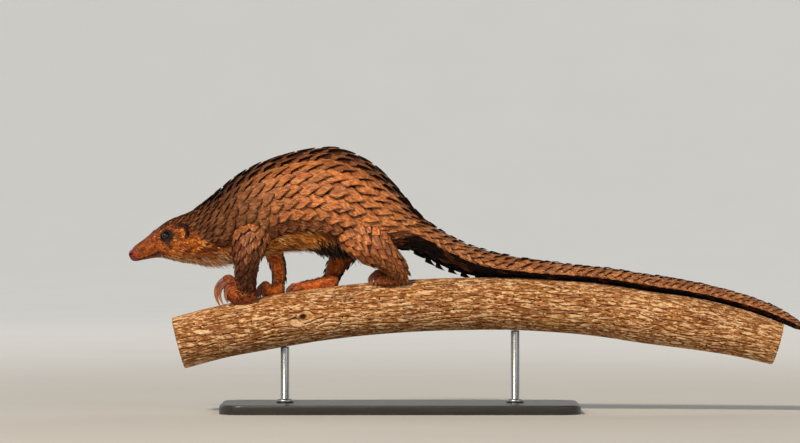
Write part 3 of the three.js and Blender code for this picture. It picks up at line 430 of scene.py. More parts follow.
def mesh_object(name, points, faces):
    """A smooth mesh from points in millimetres and arrays of triangles or quads."""
    faces = [np.asarray(block) for block in (faces if isinstance(faces, list) else [faces])]
    loops = np.concatenate([block.ravel() for block in faces])
    sizes = np.concatenate([np.full(len(block), block.shape[1]) for block in faces])
    starts = np.concatenate([[0], np.cumsum(sizes)[:-1]])
    mesh = bpy.data.meshes.new(name)
    mesh.vertices.add(len(points))
    mesh.vertices.foreach_set("co", (np.asarray(points) * MM).astype(np.float32).ravel())
    mesh.loops.add(len(loops))
    mesh.loops.foreach_set("vertex_index", loops.astype(np.int32))
    mesh.polygons.add(len(sizes))
    mesh.polygons.foreach_set("loop_start", starts.astype(np.int32))
    mesh.update(calc_edges=True)
    mesh.polygons.foreach_set("use_smooth", np.ones(len(sizes), bool))
    made = bpy.data.objects.new(name, mesh)
    bpy.context.scene.collection.objects.link(made)
    return made


def read(items, key, width=1, kind=np.int32):
    """One array of a mesh's data."""
    flat = np.empty(len(items) * width, kind)
    items.foreach_get(key, flat)
    return flat


def points_of(mesh):
    """A mesh's points in millimetres."""
    return read(mesh.vertices, "co", 3, np.float32).reshape(-1, 3).astype(float) / MM


def set_numbers(mesh, **numbers):
    """Stores a number, or a colour as a row of three, for each point."""
    for name, values in numbers.items():
        values = np.asarray(values, np.float32)
        kind, key = "FLOAT", "value"
        if values.ndim == 2:
            kind, key = "FLOAT_COLOR", "color"
            values = np.hstack([values, np.ones((len(values), 1), np.float32)])
        mesh.attributes.new(name, kind, "POINT").data.foreach_set(key, values.ravel())


def set_map(mesh, name, places):
    """Stores a UV map from a place for each point, or for each corner."""
    if len(places) == len(mesh.vertices):
        places = places[read(mesh.loops, "vertex_index")]
    flat = np.ascontiguousarray(places, np.float32).ravel()
    mesh.uv_layers.new(name=name).data.foreach_set("uv", flat)


def grid_faces(rings, columns, closed=True, flip=False):
    """Quads between rings of points, each ring listed in turn."""
    i, j = np.meshgrid(np.arange(rings - 1), np.arange(columns if closed else columns - 1), indexing="ij")
    low, high, after = i * columns, (i + 1) * columns, (j + 1) % columns
    quads = np.stack([low + j, low + after, high + after, high + j], -1).reshape(-1, 4)
    return quads[:, ::-1] if flip else quads


def capped(points, ends, columns, flip=False):
    """Points and faces of rings of points that close at each end on one point."""
    j = np.arange(columns)
    one, two = (j, (j + 1) % columns) if flip else ((j + 1) % columns, j)
    first, last = len(points), len(points) - columns
    caps = np.vstack([np.stack([np.full(columns, first), one, two], -1),
                      np.stack([np.full(columns, first + 1), last + two, last + one], -1)])
    return np.vstack([points, *ends]), [grid_faces(first // columns, columns, flip=flip), caps]


def tube(track, lengths, columns, height=0.0):
    """Points and faces of a closed tube along a track. Height may be an array of rings by columns."""
    s, angle = np.meshgrid(lengths, turns(columns), indexing="ij")
    points = track.skin(s, angle, height).reshape(-1, 3)
    return capped(points, (points[:columns].mean(0), points[-columns:].mean(0)), columns)


def finish_piece(made, material, slot_name, *replaced):
    """Gives a piece its material and body, and hides the nodes that it stands for. Its slot name is not
    used.
    """
    made.data.materials.append(material)
    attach(made, "root")
    if replaced:
        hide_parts(*replaced)


# Materials


def add_node(material, kind, settings=None, inputs=None, out=0):
    """Adds a node with its settings, sets or links its inputs, and gives one of its outputs."""
    tree = material.node_tree
    made = tree.nodes.new("ShaderNode" + kind)
    for key, value in (settings or {}).items():
        setattr(made, key, value)
    for key, value in (inputs or {}).items():
        socket = made.inputs[key]
        if isinstance(value, bpy.types.NodeSocket):
            tree.links.new(value, socket)
        else:
            socket.default_value = (*value, 1) if socket.type == "RGBA" else value
    return made.outputs[out]


def start_material(name, numbers=(), patterns=None, on_plate=False, **sockets):
    """A material with its shader's sockets set, and the mesh's numbers and noise patterns.

    A pattern is its size in millimetres along each axis, then its detail, roughness and
    distortion. It lies on the map of a plate, or else in the object's own space.
    """
    material = bpy.data.materials.new(name)
    material.use_nodes = True
    for key, value in sockets.items():
        shader = material.node_tree.nodes["Principled BSDF"]
        shader.inputs[key.replace("_", " ")].default_value = value
    values = {key: add_node(material, "Attribute", {"attribute_name": key}, out="Fac") for key in numbers}
    if on_plate:
        place = add_node(material, "UVMap", {"uv_map": "Plate"})
    else:
        place = add_node(material, "TexCoord", out="Object")
    for key, (size, detail, rough, distortion) in (patterns or {}).items():
        scaled = add_node(material, "VectorMath", {"operation": "DIVIDE"}, {
            0: place, 1: size if on_plate else [c * MM for c in size]})
        values[key] = add_node(material, "TexNoise", None, {
            "Vector": scaled, "Scale": 1.0, "Detail": detail, "Roughness": rough,
            "Distortion": distortion})
    return material, values


def lay_colours(material, colours, value, base, *layers):
    """Lays colours over one another, each by how far its value is from one level to another."""
    made = getattr(colours, base)
    for key, low, high, most, over in layers:
        amount = add_node(material, "MapRange", None, {
            "Value": value[key], "From Min": low, "From Max": high, "To Max": most})
        made = add_node(material, "Mix", {"data_type": "RGBA"}, {
            0: amount, 6: made, 7: getattr(colours, over)}, 2)
    return made


def finish_material(material, colour, rough=(), relief=()):
    """Links the colour, the roughness from a value and its limits, and the relief in mm."""
    shader = material.node_tree.nodes["Principled BSDF"]
    link = material.node_tree.links.new
    link(colour, shader.inputs["Base Color"])
    if rough:
        level, *limits = rough
        if limits:
            level = add_node(material, "MapRange", None, {
                "Value": level, "From Min": 0.3, "From Max": 0.7, "To Min": limits[0],
                "To Max": limits[1]})
        link(level, shader.inputs["Roughness"])
    if relief:
        height, depth = relief
        link(add_node(material, "Bump", None, {"Height": height, "Distance": depth * MM}),
             shader.inputs["Normal"])
    return material


def keratin_material(colours):
    """Pangolin scale: horn grown in layers and rubbed by bark, so it is satin and lined lengthwise. It is
    dark at the covered root, painted dark as shade along the lower side and on the underside, and pale
    where the tip has worn thin; on the upper side of the tip that pale rim is also a painted highlight."""
    # Growth lines are drawn 1.6 mm apart so that they show; real ones are finer.
    material, value = start_material(
        "keratin_scale_rubbed", ("along", "edge", "margin", "under", "tone", "grey", "red"), {
            "lines": ((1.6, 20, 1), 3.0, 0.6, 0.3), "mottle": ((2.8, 6, 1), 3.0, 0.6, 0.8),
            "patches": ((10, 13, 1), 2.0, 0.5, 0.5)}, True, IOR=1.55, Specular_IOR_Level=0.2)
    value["worn"] = add_node(material, "Math", {"operation": "MULTIPLY"}, {
        0: value["edge"], 1: value["mottle"]})
    horn = lay_colours(
        material, colours, value, "scale_warm",
        ("grey", 0, 1, 1, "scale_grey"), ("red", 0, 1, 1, "scale_red"),
        ("patches", 0.52, 0.62, 0.45, "scale_grey"), ("patches", 0.47, 0.38, 0.45, "scale_pale"),
        ("lines", 0.5, 0.62, 0.5, "scale_dark"), ("mottle", 0.48, 0.38, 0.6, "scale_dark"),
        # Pale worn edge, which on the upper side of each tip is also a painted highlight.
        ("mottle", 0.52, 0.62, 0.75, "scale_pale"), ("worn", 0.1, 0.5, 0.85, "scale_worn_and_lit_edge"),
        # Painted shade along the lower side of each scale, in the root's colour.
        ("along", 0.2, 0.08, 1, "scale_root_and_edge_shade"), ("margin", 0, 1, 1, "scale_root_and_edge_shade"),
        # Painted shade on the underside of each scale.
        ("under", 0, 1, 1, "scale_underside_shade"))
    toned = add_node(material, "VectorMath", {"operation": "SCALE"}, {0: horn, "Scale": value["tone"]})
    relief = add_node(material, "Math", {"operation": "ADD"}, {0: value["lines"], 1: value["mottle"]})
    return finish_material(material, toned, (value["tone"], 0.85, 0.5), (relief, 0.6))


def skin_material():
    """Thin skin with short lying hair: soft and matt, with fine strokes, moist only on the nose."""
    # Hair is drawn in strokes 1.6 mm wide and 7 mm long so that they show; real hairs are finer.
    material, value = start_material("skin_short_haired", ("bare", "wet"), {
        "strokes": ((7, 1.6, 1.6), 4.0, 0.68, 0.6), "pores": ((2.8, 2, 2), 3.0, 0.6, 0.2),
        "patches": ((8, 5, 5), 3.0, 0.62, 1.1)}, IOR=1.42, Specular_IOR_Level=0.35,
        Subsurface_Weight=0.05, Subsurface_Scale=0.002)
    fine = add_node(material, "Mix", None, {0: value["bare"], 2: value["strokes"], 3: value["pores"]})
    colour = add_node(material, "Attribute", {"attribute_name": "marking"}, out="Color")
    for pattern, least, most in ((fine, 0.42, 1.55), (value["patches"], 0.36, 1.5)):
        level = add_node(material, "MapRange", None, {
            "Value": pattern, "From Min": 0.37, "From Max": 0.63, "To Min": least, "To Max": most})
        colour = add_node(material, "VectorMath", {"operation": "SCALE"}, {0: colour, "Scale": level})
    return finish_material(material, colour, (value["wet"],), (fine, 0.9))


def fur_material():
    """Fine body hair in tufts: matt strands, darker at the root and sun-bleached at the tip."""
    material, value = start_material(
        "hair_tuft_soft", ("along", "tone"), IOR=1.5, Specular_IOR_Level=0.25, Roughness=0.62)
    shade = add_node(material, "MapRange", None, {"Value": value["along"], "To Min": 0.5, "To Max": 1.3})
    level = add_node(material, "Math", {"operation": "MULTIPLY"}, {0: shade, 1: value["tone"]})
    marking = add_node(material, "Attribute", {"attribute_name": "marking"}, out="Color")
    return finish_material(material, add_node(
        material, "VectorMath", {"operation": "SCALE"}, {0: marking, "Scale": level}))


def claw_material(colours):
    """Claw: solid horn polished by use, satin, streaked lengthwise and paler towards the point."""
    material, value = start_material("keratin_claw_polished", ("along",), {
        "streaks": ((2, 18, 1), 3.0, 0.6, 0.3)}, True, IOR=1.55, Roughness=0.36)
    colour = lay_colours(material, colours, value, "claw_root", ("along", 0.05, 0.9, 1, "claw_tip"),
                         ("streaks", 0.49, 0.57, 0.9, "claw_streak"))
    return finish_material(material, colour, (), (value["streaks"], 0.35))


def eye_material(colours):
    """Eye: a wet cornea over a nearly black iris, so it shows one small highlight."""
    material, value = start_material(
        "cornea_wet", ("ring",), IOR=1.38, Specular_IOR_Level=0.8, Roughness=0.1)
    return finish_material(material, lay_colours(
        material, colours, value, "eye_pupil", ("ring", 0.32, 0.4, 1, "eye_iris"),
        ("ring", 0.75, 0.95, 1, "eye_pupil")))


def bark_material(colours):
    """Bark: dry corky ridges bleached by the sun over dark fissures, fully matt. The dark of the fissures
    and the knot's hollow is partly their own colour and partly painted shade.
    """
    material, value = start_material("bark_furrowed", ("ridge", "cell"), {
        "grain": ((5, 1.4, 1.4), 4.0, 0.65, 0.5), "flecks": ((9, 2.6, 2.6), 3.0, 0.6, 0.7),
        "patches": ((46, 26, 26), 3.0, 0.55, 0.6)}, IOR=1.45, Specular_IOR_Level=0.3, Roughness=0.88)
    colour = lay_colours(
        material, colours, value, "bark_mid",
        ("cell", 0.1, 0.75, 1, "bark_light"), ("patches", 0.4, 0.68, 0.6, "bark_brown"),
        ("flecks", 0.48, 0.38, 0.85, "bark_brown"), ("grain", 0.5, 0.36, 0.7, "bark_brown"),
        ("flecks", 0.53, 0.62, 0.9, "bark_pale"), ("cell", 0.68, 0.85, 0.75, "bark_pale"),
        # Dark fissures and knot hollow, partly their own colour and partly painted shade.
        ("grain", 0.42, 0.33, 0.7, "bark_fissure_and_shade"), ("ridge", 0.85, 0.25, 1, "bark_fissure_and_shade"))
    return finish_material(material, colour, (), (value["grain"], 0.7))


def stained_wood_material(colours):
    """Ebonised hardwood: stained nearly black and waxed, with open grain along its length."""
    material, value = start_material("hardwood_ebonised_waxed", (), {
        "grain": ((70, 4, 4), 5.0, 0.6, 0.6), "pores": ((16, 0.7, 0.7), 2.0, 0.5, 0.0)},
        IOR=1.5, Coat_Weight=0.25, Coat_Roughness=0.3)
    colour = lay_colours(material, colours, value, "base_dark", ("grain", 0.35, 0.7, 1, "base_grain"))
    return finish_material(material, colour, (value["pores"], 0.34, 0.52), (value["pores"], 0.06))


def steel_material(colours):
    """Brushed stainless steel rod: fine lines round it from the brush."""
    material, value = start_material("stainless_steel_brushed", (), {
        "lines": ((8, 8, 0.25), 2.0, 0.5, 0.0)}, Metallic=1.0)
    colour = lay_colours(material, colours, value, "steel", ("lines", 0.3, 0.7, 1, "steel_light"))
    return finish_material(material, colour, (value["lines"], 0.26, 0.42), (value["lines"], 0.012))


def studio_material(colours):
    """Studio floor and wall: matt painted board, which glows faintly far from the object as if it
    were washed with light, so that it is as pale behind the object as under it."""
    material, value = start_material("board_painted_matt", (), {
        "soft": ((330, 330, 330), 2.0, 0.55, 0.0)}, Roughness=0.85)
    colour = lay_colours(material, colours, value, "floor", ("soft", 0, 1, 1, "floor_shade"))
    place = add_node(material, "TexCoord", out="Object")
    far = add_node(material, "VectorMath", {"operation": "LENGTH"}, {0: place}, "Value")
    glow = add_node(material, "MapRange", {"interpolation_type": "SMOOTHSTEP"}, {
        "Value": far, "From Min": 0.4, "From Max": 4.6, "To Max": STUDIO["glow"]})
    shader = material.node_tree.nodes["Principled BSDF"]
    material.node_tree.links.new(glow, shader.inputs["Emission Strength"])
    shader.inputs["Emission Color"].default_value = (*colours.floor, 1)
    return finish_material(material, colour)


# Markings of skin and coat


def blend_in(colours, *layers):
    """Mixes hex colours into an array of colours, each by its weight."""
    for code, weight in layers:
        colours += (np.array(linear(code)) - colours) * np.clip(weight, 0, 1)[:, None]


def head_offsets(s, angle, feature):
    """Millimetres backwards and upwards from a feature of the head, on the side of each point."""
    s0 = body_track.at_x(feature["x"])
    angle0 = math.radians(feature["angle"])
    return s - s0, (angle0 - abs(angle)) * body_track.girth_rate(s0, angle0)


def ear_shape(back, up):
    """How far round the ear's outline a place is, how far up, and 1 behind the ear."""
    across, tall = back / EAR["width"], up / EAR["height"]
    return np.hypot(across, tall), tall, smooth(-0.7, 0.25, across + 0.75 * tall)


def body_markings(s, angle):
    """Colour, bareness and roughness of the body's skin and fur."""
    x = body_track.x_at(s)
    turn = np.degrees(abs(angle))
    colours = np.tile(linear("#984a12"), (len(x), 1))
    # The crown, muzzle and bridge of the nose, the cheek, throat and chin, darker patches at the lip and
    # jaw, a painted shadow on the neck behind the ear, and the belly's sides and middle.
    blend_in(
        colours,
        ("#5a220a", smooth(75, 30, turn) * smooth(-255, -275, x)),
        ("#88400a", smooth(-300, -314, x)),
        ("#561f06", 0.8 * smooth(-300, -310, x) * smooth(48, 18, turn)),
        ("#b45c12", smooth(85, 105, turn) * smooth(150, 135, turn) * smooth(-312, -296, x)
         * smooth(-250, -262, x)),
        ("#cc8a4a", smooth(135, 160, turn) * smooth(-308, -290, x) * smooth(-215, -240, x)),
        ("#cdb096", 0.8 * smooth(150, 165, turn) * bump_at(x, -312, 7)),
        ("#5c2a22", 0.75 * bump_at(x, -313, 9) * bump_at(turn, 128, 14)),
        ("#8a3f1c", 0.7 * bump_at(x, -283, 9) * bump_at(turn, 120, 14)),
        # Painted shadow on the neck behind the ear.
        ("#5e4a3e", 0.8 * bump_at(x, -246, 9) * bump_at(turn, 92, 16)),
        ("#f0943a", smooth(-225, -205, x) * smooth(-70, -95, x) * smooth(118, 128, turn)),
        ("#6e3210", 0.9 * smooth(-225, -205, x) * smooth(146, 158, turn)))
    # The dark ring round the eye and the streak below it.
    back, up = head_offsets(s, angle, EYE)
    around = np.hypot((back - 1.8) / 8.6, (up + 1.4) / 8.4)
    streak = np.hypot((back - 0.5 + 0.25 * (up + 9)) / 3.6, (up + 12) / 8)
    blend_in(colours, ("#0e0503", 0.97 * smooth(1.25, 0.8, around)),
             ("#32181a", 0.85 * smooth(1.2, 0.55, streak)))
    back, up = head_offsets(s, angle, EAR)
    around, tall, rear = ear_shape(back, up)
    # Painted shade on the skin where the scales cover it.
    covered = look_up(SCALE_REACH, x)
    covered = smooth(covered + 3, covered - 6, turn) * smooth(-316, -306, x)
    # The ear's base, the shade behind it, its cup, and painted shade in its pit, then the tip of the
    # muzzle, the nose, the lower lip, the line of the mouth with painted shade in its crease, and painted
    # shade on the skin under the scales.
    blend_in(
        colours,
        ("#8a4015", 0.8 * smooth(1.2, 1.0, around)),
        ("#2c0e08", rear * smooth(2.1, 1.6, around) * smooth(0.72, 0.86, around)
         * smooth(-1.1, -0.5, tall)),
        ("#ee9438", 0.9 * smooth(0.8, 0.6, around)),
        # Painted shade in the ear's pit.
        ("#4a1d0d", 0.5 * smooth(1.0, 0.5, np.hypot((back - 1.2) / 2.6, (up + 1) / 5.6))),
        ("#782c22", smooth(-335, -341, x)),
        ("#4a100c", 0.85 * smooth(-343.5, -346.5, x)),
        ("#2a0d0a", 0.8 * smooth(150, 172, turn) * smooth(-318, -330, x)),
        # Painted shade in the crease of the mouth.
        ("#26100e", 0.9 * mouth_line(s, angle, 0.0, 1.5)),
        # Painted shade on the skin under the scales.
        ("#2c170e", 0.85 * covered))
    return colours, 0.55 * smooth(-300, -325, x), 0.64 - 0.34 * smooth(-336, -342, x)


def limb_markings(part, s, angle):
    """Colour, bareness and roughness of a leg's or foot's skin and fur."""
    leg = LEGS[(part - 1) % 4]
    colours = np.tile(linear(leg["inner"]), (len(s), 1))
    outward, front = np.cos(angle - leg["out"] * math.pi / 2), np.cos(angle)
    # On a leg: the outer side, where the skin under the scales is painted dark as shade, the hidden top and
    # the part just below it, painted dark as shade where the leg meets the body, and the front and back
    # edges, darkened as painted shade; or the toes of a foot.
    if part <= 4:
        blend_in(
            colours,
            # Painted shade on the skin under the scales of the outer side.
            ("#4e230f", smooth(-0.2, 0.3, outward) * smooth(-4, -18, s - leg["track"].length)),
            # Painted shade where the leg meets the body.
            ("#5e2810", 0.8 * smooth(30, 6, s - leg["hidden"])),
            # Painted shade on the front and back edges.
            ("#61230a", 0.6 * smooth(0.5, 0.95, front)),
            ("#4a1a08", 0.7 * smooth(-0.6, -0.95, front)))
    else:
        share = s / leg["sole"].length
        blend_in(
            colours,
            (leg["foot_colour"], 0.85 * smooth(-0.3, 0.4, outward)),
            ("#4f2210", 0.7 * smooth(0.25, 0.85, front) * smooth(0.9, 0.7, share)),
            ("#56240f", 0.75 * smooth(-0.35, -0.8, front)),
            ("#7c4126", 0.6 * smooth(0.75, 0.95, share)))
    return colours, np.full(len(s), 0.3 if part <= 4 else 0.5), np.full(len(s), 0.6)


def markings(part, s, angle):
    """Colour, bareness and roughness of a part's skin and fur."""
    return limb_markings(part, s, angle) if part else body_markings(s, angle)


def mouth_line(s, angle, above, spread):
    """1 along the line of the mouth, moved up by a distance, fading over a spread."""
    x, turn = np.array(MOUTH, float).T
    turn = np.radians(turn)
    lengths = body_track.at_x(x)
    rate = body_track.girth_rate(lengths, turn)
    turn = turn - above / np.maximum(rate, 1)
    turn[0] = math.pi
    nearest = np.full(np.shape(s), 99.0)
    for k in range(len(MOUTH) - 1):
        mid_rate = (rate[k] + rate[k + 1]) / 2
        dx, dy = lengths[k + 1] - lengths[k], (turn[k + 1] - turn[k]) * mid_rate
        px, py = s - lengths[k], (abs(angle) - turn[k]) * mid_rate
        t = np.clip((px * dx + py * dy) / (dx * dx + dy * dy), 0, 1)
        nearest = np.minimum(nearest, np.hypot(px - t * dx, py - t * dy))
    return bump_at(nearest, 0, spread)


# Skin


def head_relief(s, angle):
    """Height over the body's outline of the lids, ears, lips, nostrils and folds of the head."""
    turn = np.degrees(abs(angle))
    back, up = head_offsets(s, angle, EYE)
    tilt = math.radians(EYE["tilt"])
    back, up = back * math.cos(tilt) + up * math.sin(tilt), up * math.cos(tilt) - back * math.sin(tilt)
    around = np.hypot(back / EYE["long"], up / EYE["tall"])
    # The lids and the hole between them, a fold round them, and the hollow before the eye.
    height = np.where(up > 0, 1.5, 1.1) * bump_at(around, 1.2, 0.24) - 3.6 * smooth(1.08, 0.85, around)
    height += 0.4 * bump_at(around, 1.95, 0.22) - 0.35 * bump_at(around, 1.6, 0.16)
    height -= 0.9 * bump_at(back, -9, 7) * bump_at(up, -2, 8)
    back, up = head_offsets(s, angle, EAR)
    around, _, rear = ear_shape(back, up)
    # The ear's rim, the flap before it, its pit and inner ridge, and the groove behind it.
    height += EAR["rise"] * rear * bump_at(around, 1, np.where(around < 1, 0.17, 0.36))
    height += 1.5 * bump_at(back, -3.6, 2.2) * bump_at(up, -4.5, 3.2)
    height -= EAR["pit"] * np.exp(-np.hypot((back - 0.6) / 3.1, (up + 0.5) / 6.6) ** 4)
    height += 0.8 * bump_at(back, 0.5, 1.0) * bump_at(up, 1.5, 4.2)
    height -= 0.5 * bump_at(around, 1.75, 0.25) * rear
    # The cheek, the line of the mouth, and the two lips.
    height += 1.4 * bump_at(s, body_track.at_x(-286), 16) * bump_at(turn, 112, 26)
    height -= 1.0 * mouth_line(s, angle, 0.0, 0.8)
    height += 0.65 * mouth_line(s, angle, 1.8, 1.1) + 0.35 * mouth_line(s, angle, -1.5, 1.0)
    back, up = head_offsets(s, angle, NOSTRIL)
    around = np.hypot((back + 0.25 * up) / NOSTRIL["long"], up / NOSTRIL["tall"])
    # The nostril with its rim, and the crease where the bare nose begins.
    height -= NOSTRIL["depth"] * np.exp(-(around**4)) - 0.35 * bump_at(around, 1.6, 0.35)
    return height - 0.45 * bump_at(body_track.x_at(s), -338.2, 0.8) * smooth(170, 150, turn)


def coat_depth(s, angle):
    """How far the body's skin lies under the outline, below scales and fur."""
    x = body_track.x_at(s)
    reach = look_up(SCALE_REACH, x)
    scaled = smooth(reach + 4, reach - 8, np.degrees(abs(angle))) * smooth(-318, -300, x)
    furred = smooth(-262, -225, x) * smooth(-40, -80, x)
    depth = scaled * (0.5 + 0.62 * look_up(SCALE_RISE, x)) + (1 - scaled) * 2.2 * furred
    above, below, _ = body_track.sections(s)[4:]
    return np.minimum(depth, 0.4 * np.where(np.cos(angle) >= 0, above, below))


def claw_lines(leg):
    """Root, bend, end, toe heel and thickness of each claw of a foot."""
    claw, out = leg["claw"], leg["out"]
    x, y, z = claw["at"]
    for across, size, back in DIGITS:
        reach = claw["length"] * size
        root = np.array([x + back * claw["length"] * 0.5, out * (y + across * claw["spread"]),
                         z - back * claw["length"] * 0.85])
        bend = root + np.array([-0.55 * reach, 0, -0.3 * reach])
        end = root + np.array([(-0.48 + 0.34 * claw["hook"]) * reach, out * 0.04 * reach, -0.94 * reach])
        # The point stays over the upper side of the branch.
        centre, _, _, _, radius, _, _ = branch_track.sections(branch_track.at_x(end[0]))
        end[2] = max(end[2], centre[2] + math.sqrt(max(0, radius**2 - end[1]**2)) + CLAW_CLEARANCE)
        heel = root + np.array([0.24 * claw["length"] + 3, 0, -0.12 * reach - 3])
        yield root, bend, end, heel, claw["depth"] * (0.45 + 0.55 * size)


def toe_track(root, bend, heel, thick):
    """The line of a toe from inside the foot to the root of its claw, with a rounded end."""
    crest = root - unit(bend - root) * 0.6 * np.linalg.norm(heel - root)
    rows = []
    for t, size in ((0, 0.8), (0.35, 1), (0.7, 1.1), (0.92, 1.04), (1.06, 0.9), (1.14, 0.5)):
        place = (1 - t) ** 2 * heel + 2 * t * (1 - t) * crest + t * t * root
        deep = 1.22 * thick * size
        rows.append([*place, deep, deep, 1.3 * CLAW_NARROWNESS * thick * size])
    return Track(rows)


def skin_object():
    """The whole skin as one closed mesh: body and head, with legs, feet and toes joined on."""
    # The spacing of the body's rings by the length from the nose: fine on the head.
    spacing = [(0, 0.5), (12, 0.62), (96, 0.72), (112, 2.4), (360, 3.6), (640, 4.4), (880, 5.4)]
    lengths = [0.0]
    while lengths[-1] < body_track.length:
        lengths.append(lengths[-1] + float(look_up(spacing, lengths[-1])))
    lengths = np.array(lengths[:-1] + [body_track.length])
    columns, head_end = 200, -255
    s, angle = np.meshgrid(lengths, signed(turns(columns)), indexing="ij")
    height = np.where(s < body_track.at_x(head_end), head_relief(s, angle), 0) - coat_depth(s, angle)
    points, faces = tube(body_track, lengths, columns, height)
    body = mesh_object("pangolin_skin_body", clear_of_branch(points), faces)
    scene_objects = bpy.context.scene.collection.objects
    limbs = bpy.data.collections.new("limbs")
    bpy.context.scene.collection.children.link(limbs)

    def add_limb(name, track, step, around, depth):
        rings = np.linspace(0, track.length, max(6, round(track.length / step)))
        points, faces = tube(track, rings, around, -depth)
        limb = mesh_object(name, clear_of_branch(points), faces)
        scene_objects.unlink(limb)
        limbs.objects.link(limb)

    # The spacing of each limb's rings, their points, and the depth of its skin under the outline.
    for leg in LEGS:
        add_limb(leg["name"], leg["track"], 2.2, 48, 0.9)
        add_limb(leg["name"] + "_foot", leg["sole"], 1.5, 44, 0.2)
        for digit, (root, bend, _, heel, thick) in enumerate(claw_lines(leg)):
            add_limb(f"{leg['name']}_toe_{digit}", toe_track(root, bend, heel, thick), 1.1, 18, 0.0)
    union = body.modifiers.new("limbs", "BOOLEAN")
    union.operation = "UNION"
    union.operand_type = "COLLECTION"
    union.collection = limbs
    union.solver = "MANIFOLD"
    mesh = bpy.data.meshes.new_from_object(body.evaluated_get(bpy.context.evaluated_depsgraph_get()))
    mesh.name = "pangolin_skin"
    mesh.materials.clear()
    skin = bpy.data.objects.new("pangolin_skin", mesh)
    scene_objects.link(skin)
    for used in [body, *limbs.objects]:
        bpy.data.objects.remove(used)
    bpy.data.collections.remove(limbs)
    return skin


def soften(mesh, points, weight, rounds):
    """Points moved towards the mean of their neighbours where the weight says."""
    a, b = read(mesh.edges, "vertices", 2).reshape(-1, 2).T
    size = len(points)
    count = np.bincount(a, minlength=size) + np.bincount(b, minlength=size)
    for _ in range(rounds):
        total = [np.bincount(a, line[b], size) + np.bincount(b, line[a], size) for line in points.T]
        mean = np.array(total).T / np.maximum(count, 1)[:, None]
        points = points + (mean - points) * (0.5 * weight)[:, None]
    return points


def dress_skin(skin):
    """Softens the joins of the limbs and stores markings and the flat layout on the skin."""
    mesh = skin.data
    points = points_of(mesh)
    found = [track.locate(points) for track in PARTS]
    gaps = np.abs([gap for _, _, gap in found])
    part = np.argmin(gaps, axis=0)
    weight = smooth(4.5, 1.5, np.sort(gaps, axis=0)[1]) * smooth(-262, -250, points[:, 0])
    points = clear_of_branch(soften(mesh, points, weight, 8))
    mesh.vertices.foreach_set("co", (points * MM).astype(np.float32).ravel())
    numbers = np.zeros((len(points), 5))
    for index, (s, angle, _) in enumerate(found):
        mine = part == index
        numbers[mine] = np.column_stack(markings(index, s[mine], angle[mine]))
    set_numbers(mesh, marking=numbers[:, :3], bare=numbers[:, 3], wet=numbers[:, 4])
    # In the flat layout a face belongs to the part of its first corner.
    corners, starts = read(mesh.loops, "vertex_index"), read(mesh.polygons, "loop_start")
    face = np.zeros(len(corners), np.int32)
    face[starts[1:]] = 1
    first = corners[starts][np.cumsum(face)]
    places = np.zeros((len(corners), 2))
    for index, (s, angle, _) in enumerate(found):
        mine = part[first] == index
        lead = angle[first][mine]
        turned = lead + wrapped(angle[corners][mine] - lead)
        places[mine] = bake_place(index, s[corners][mine], turned)
    set_map(mesh, "OFBake", places)
    return part, found


# Scales


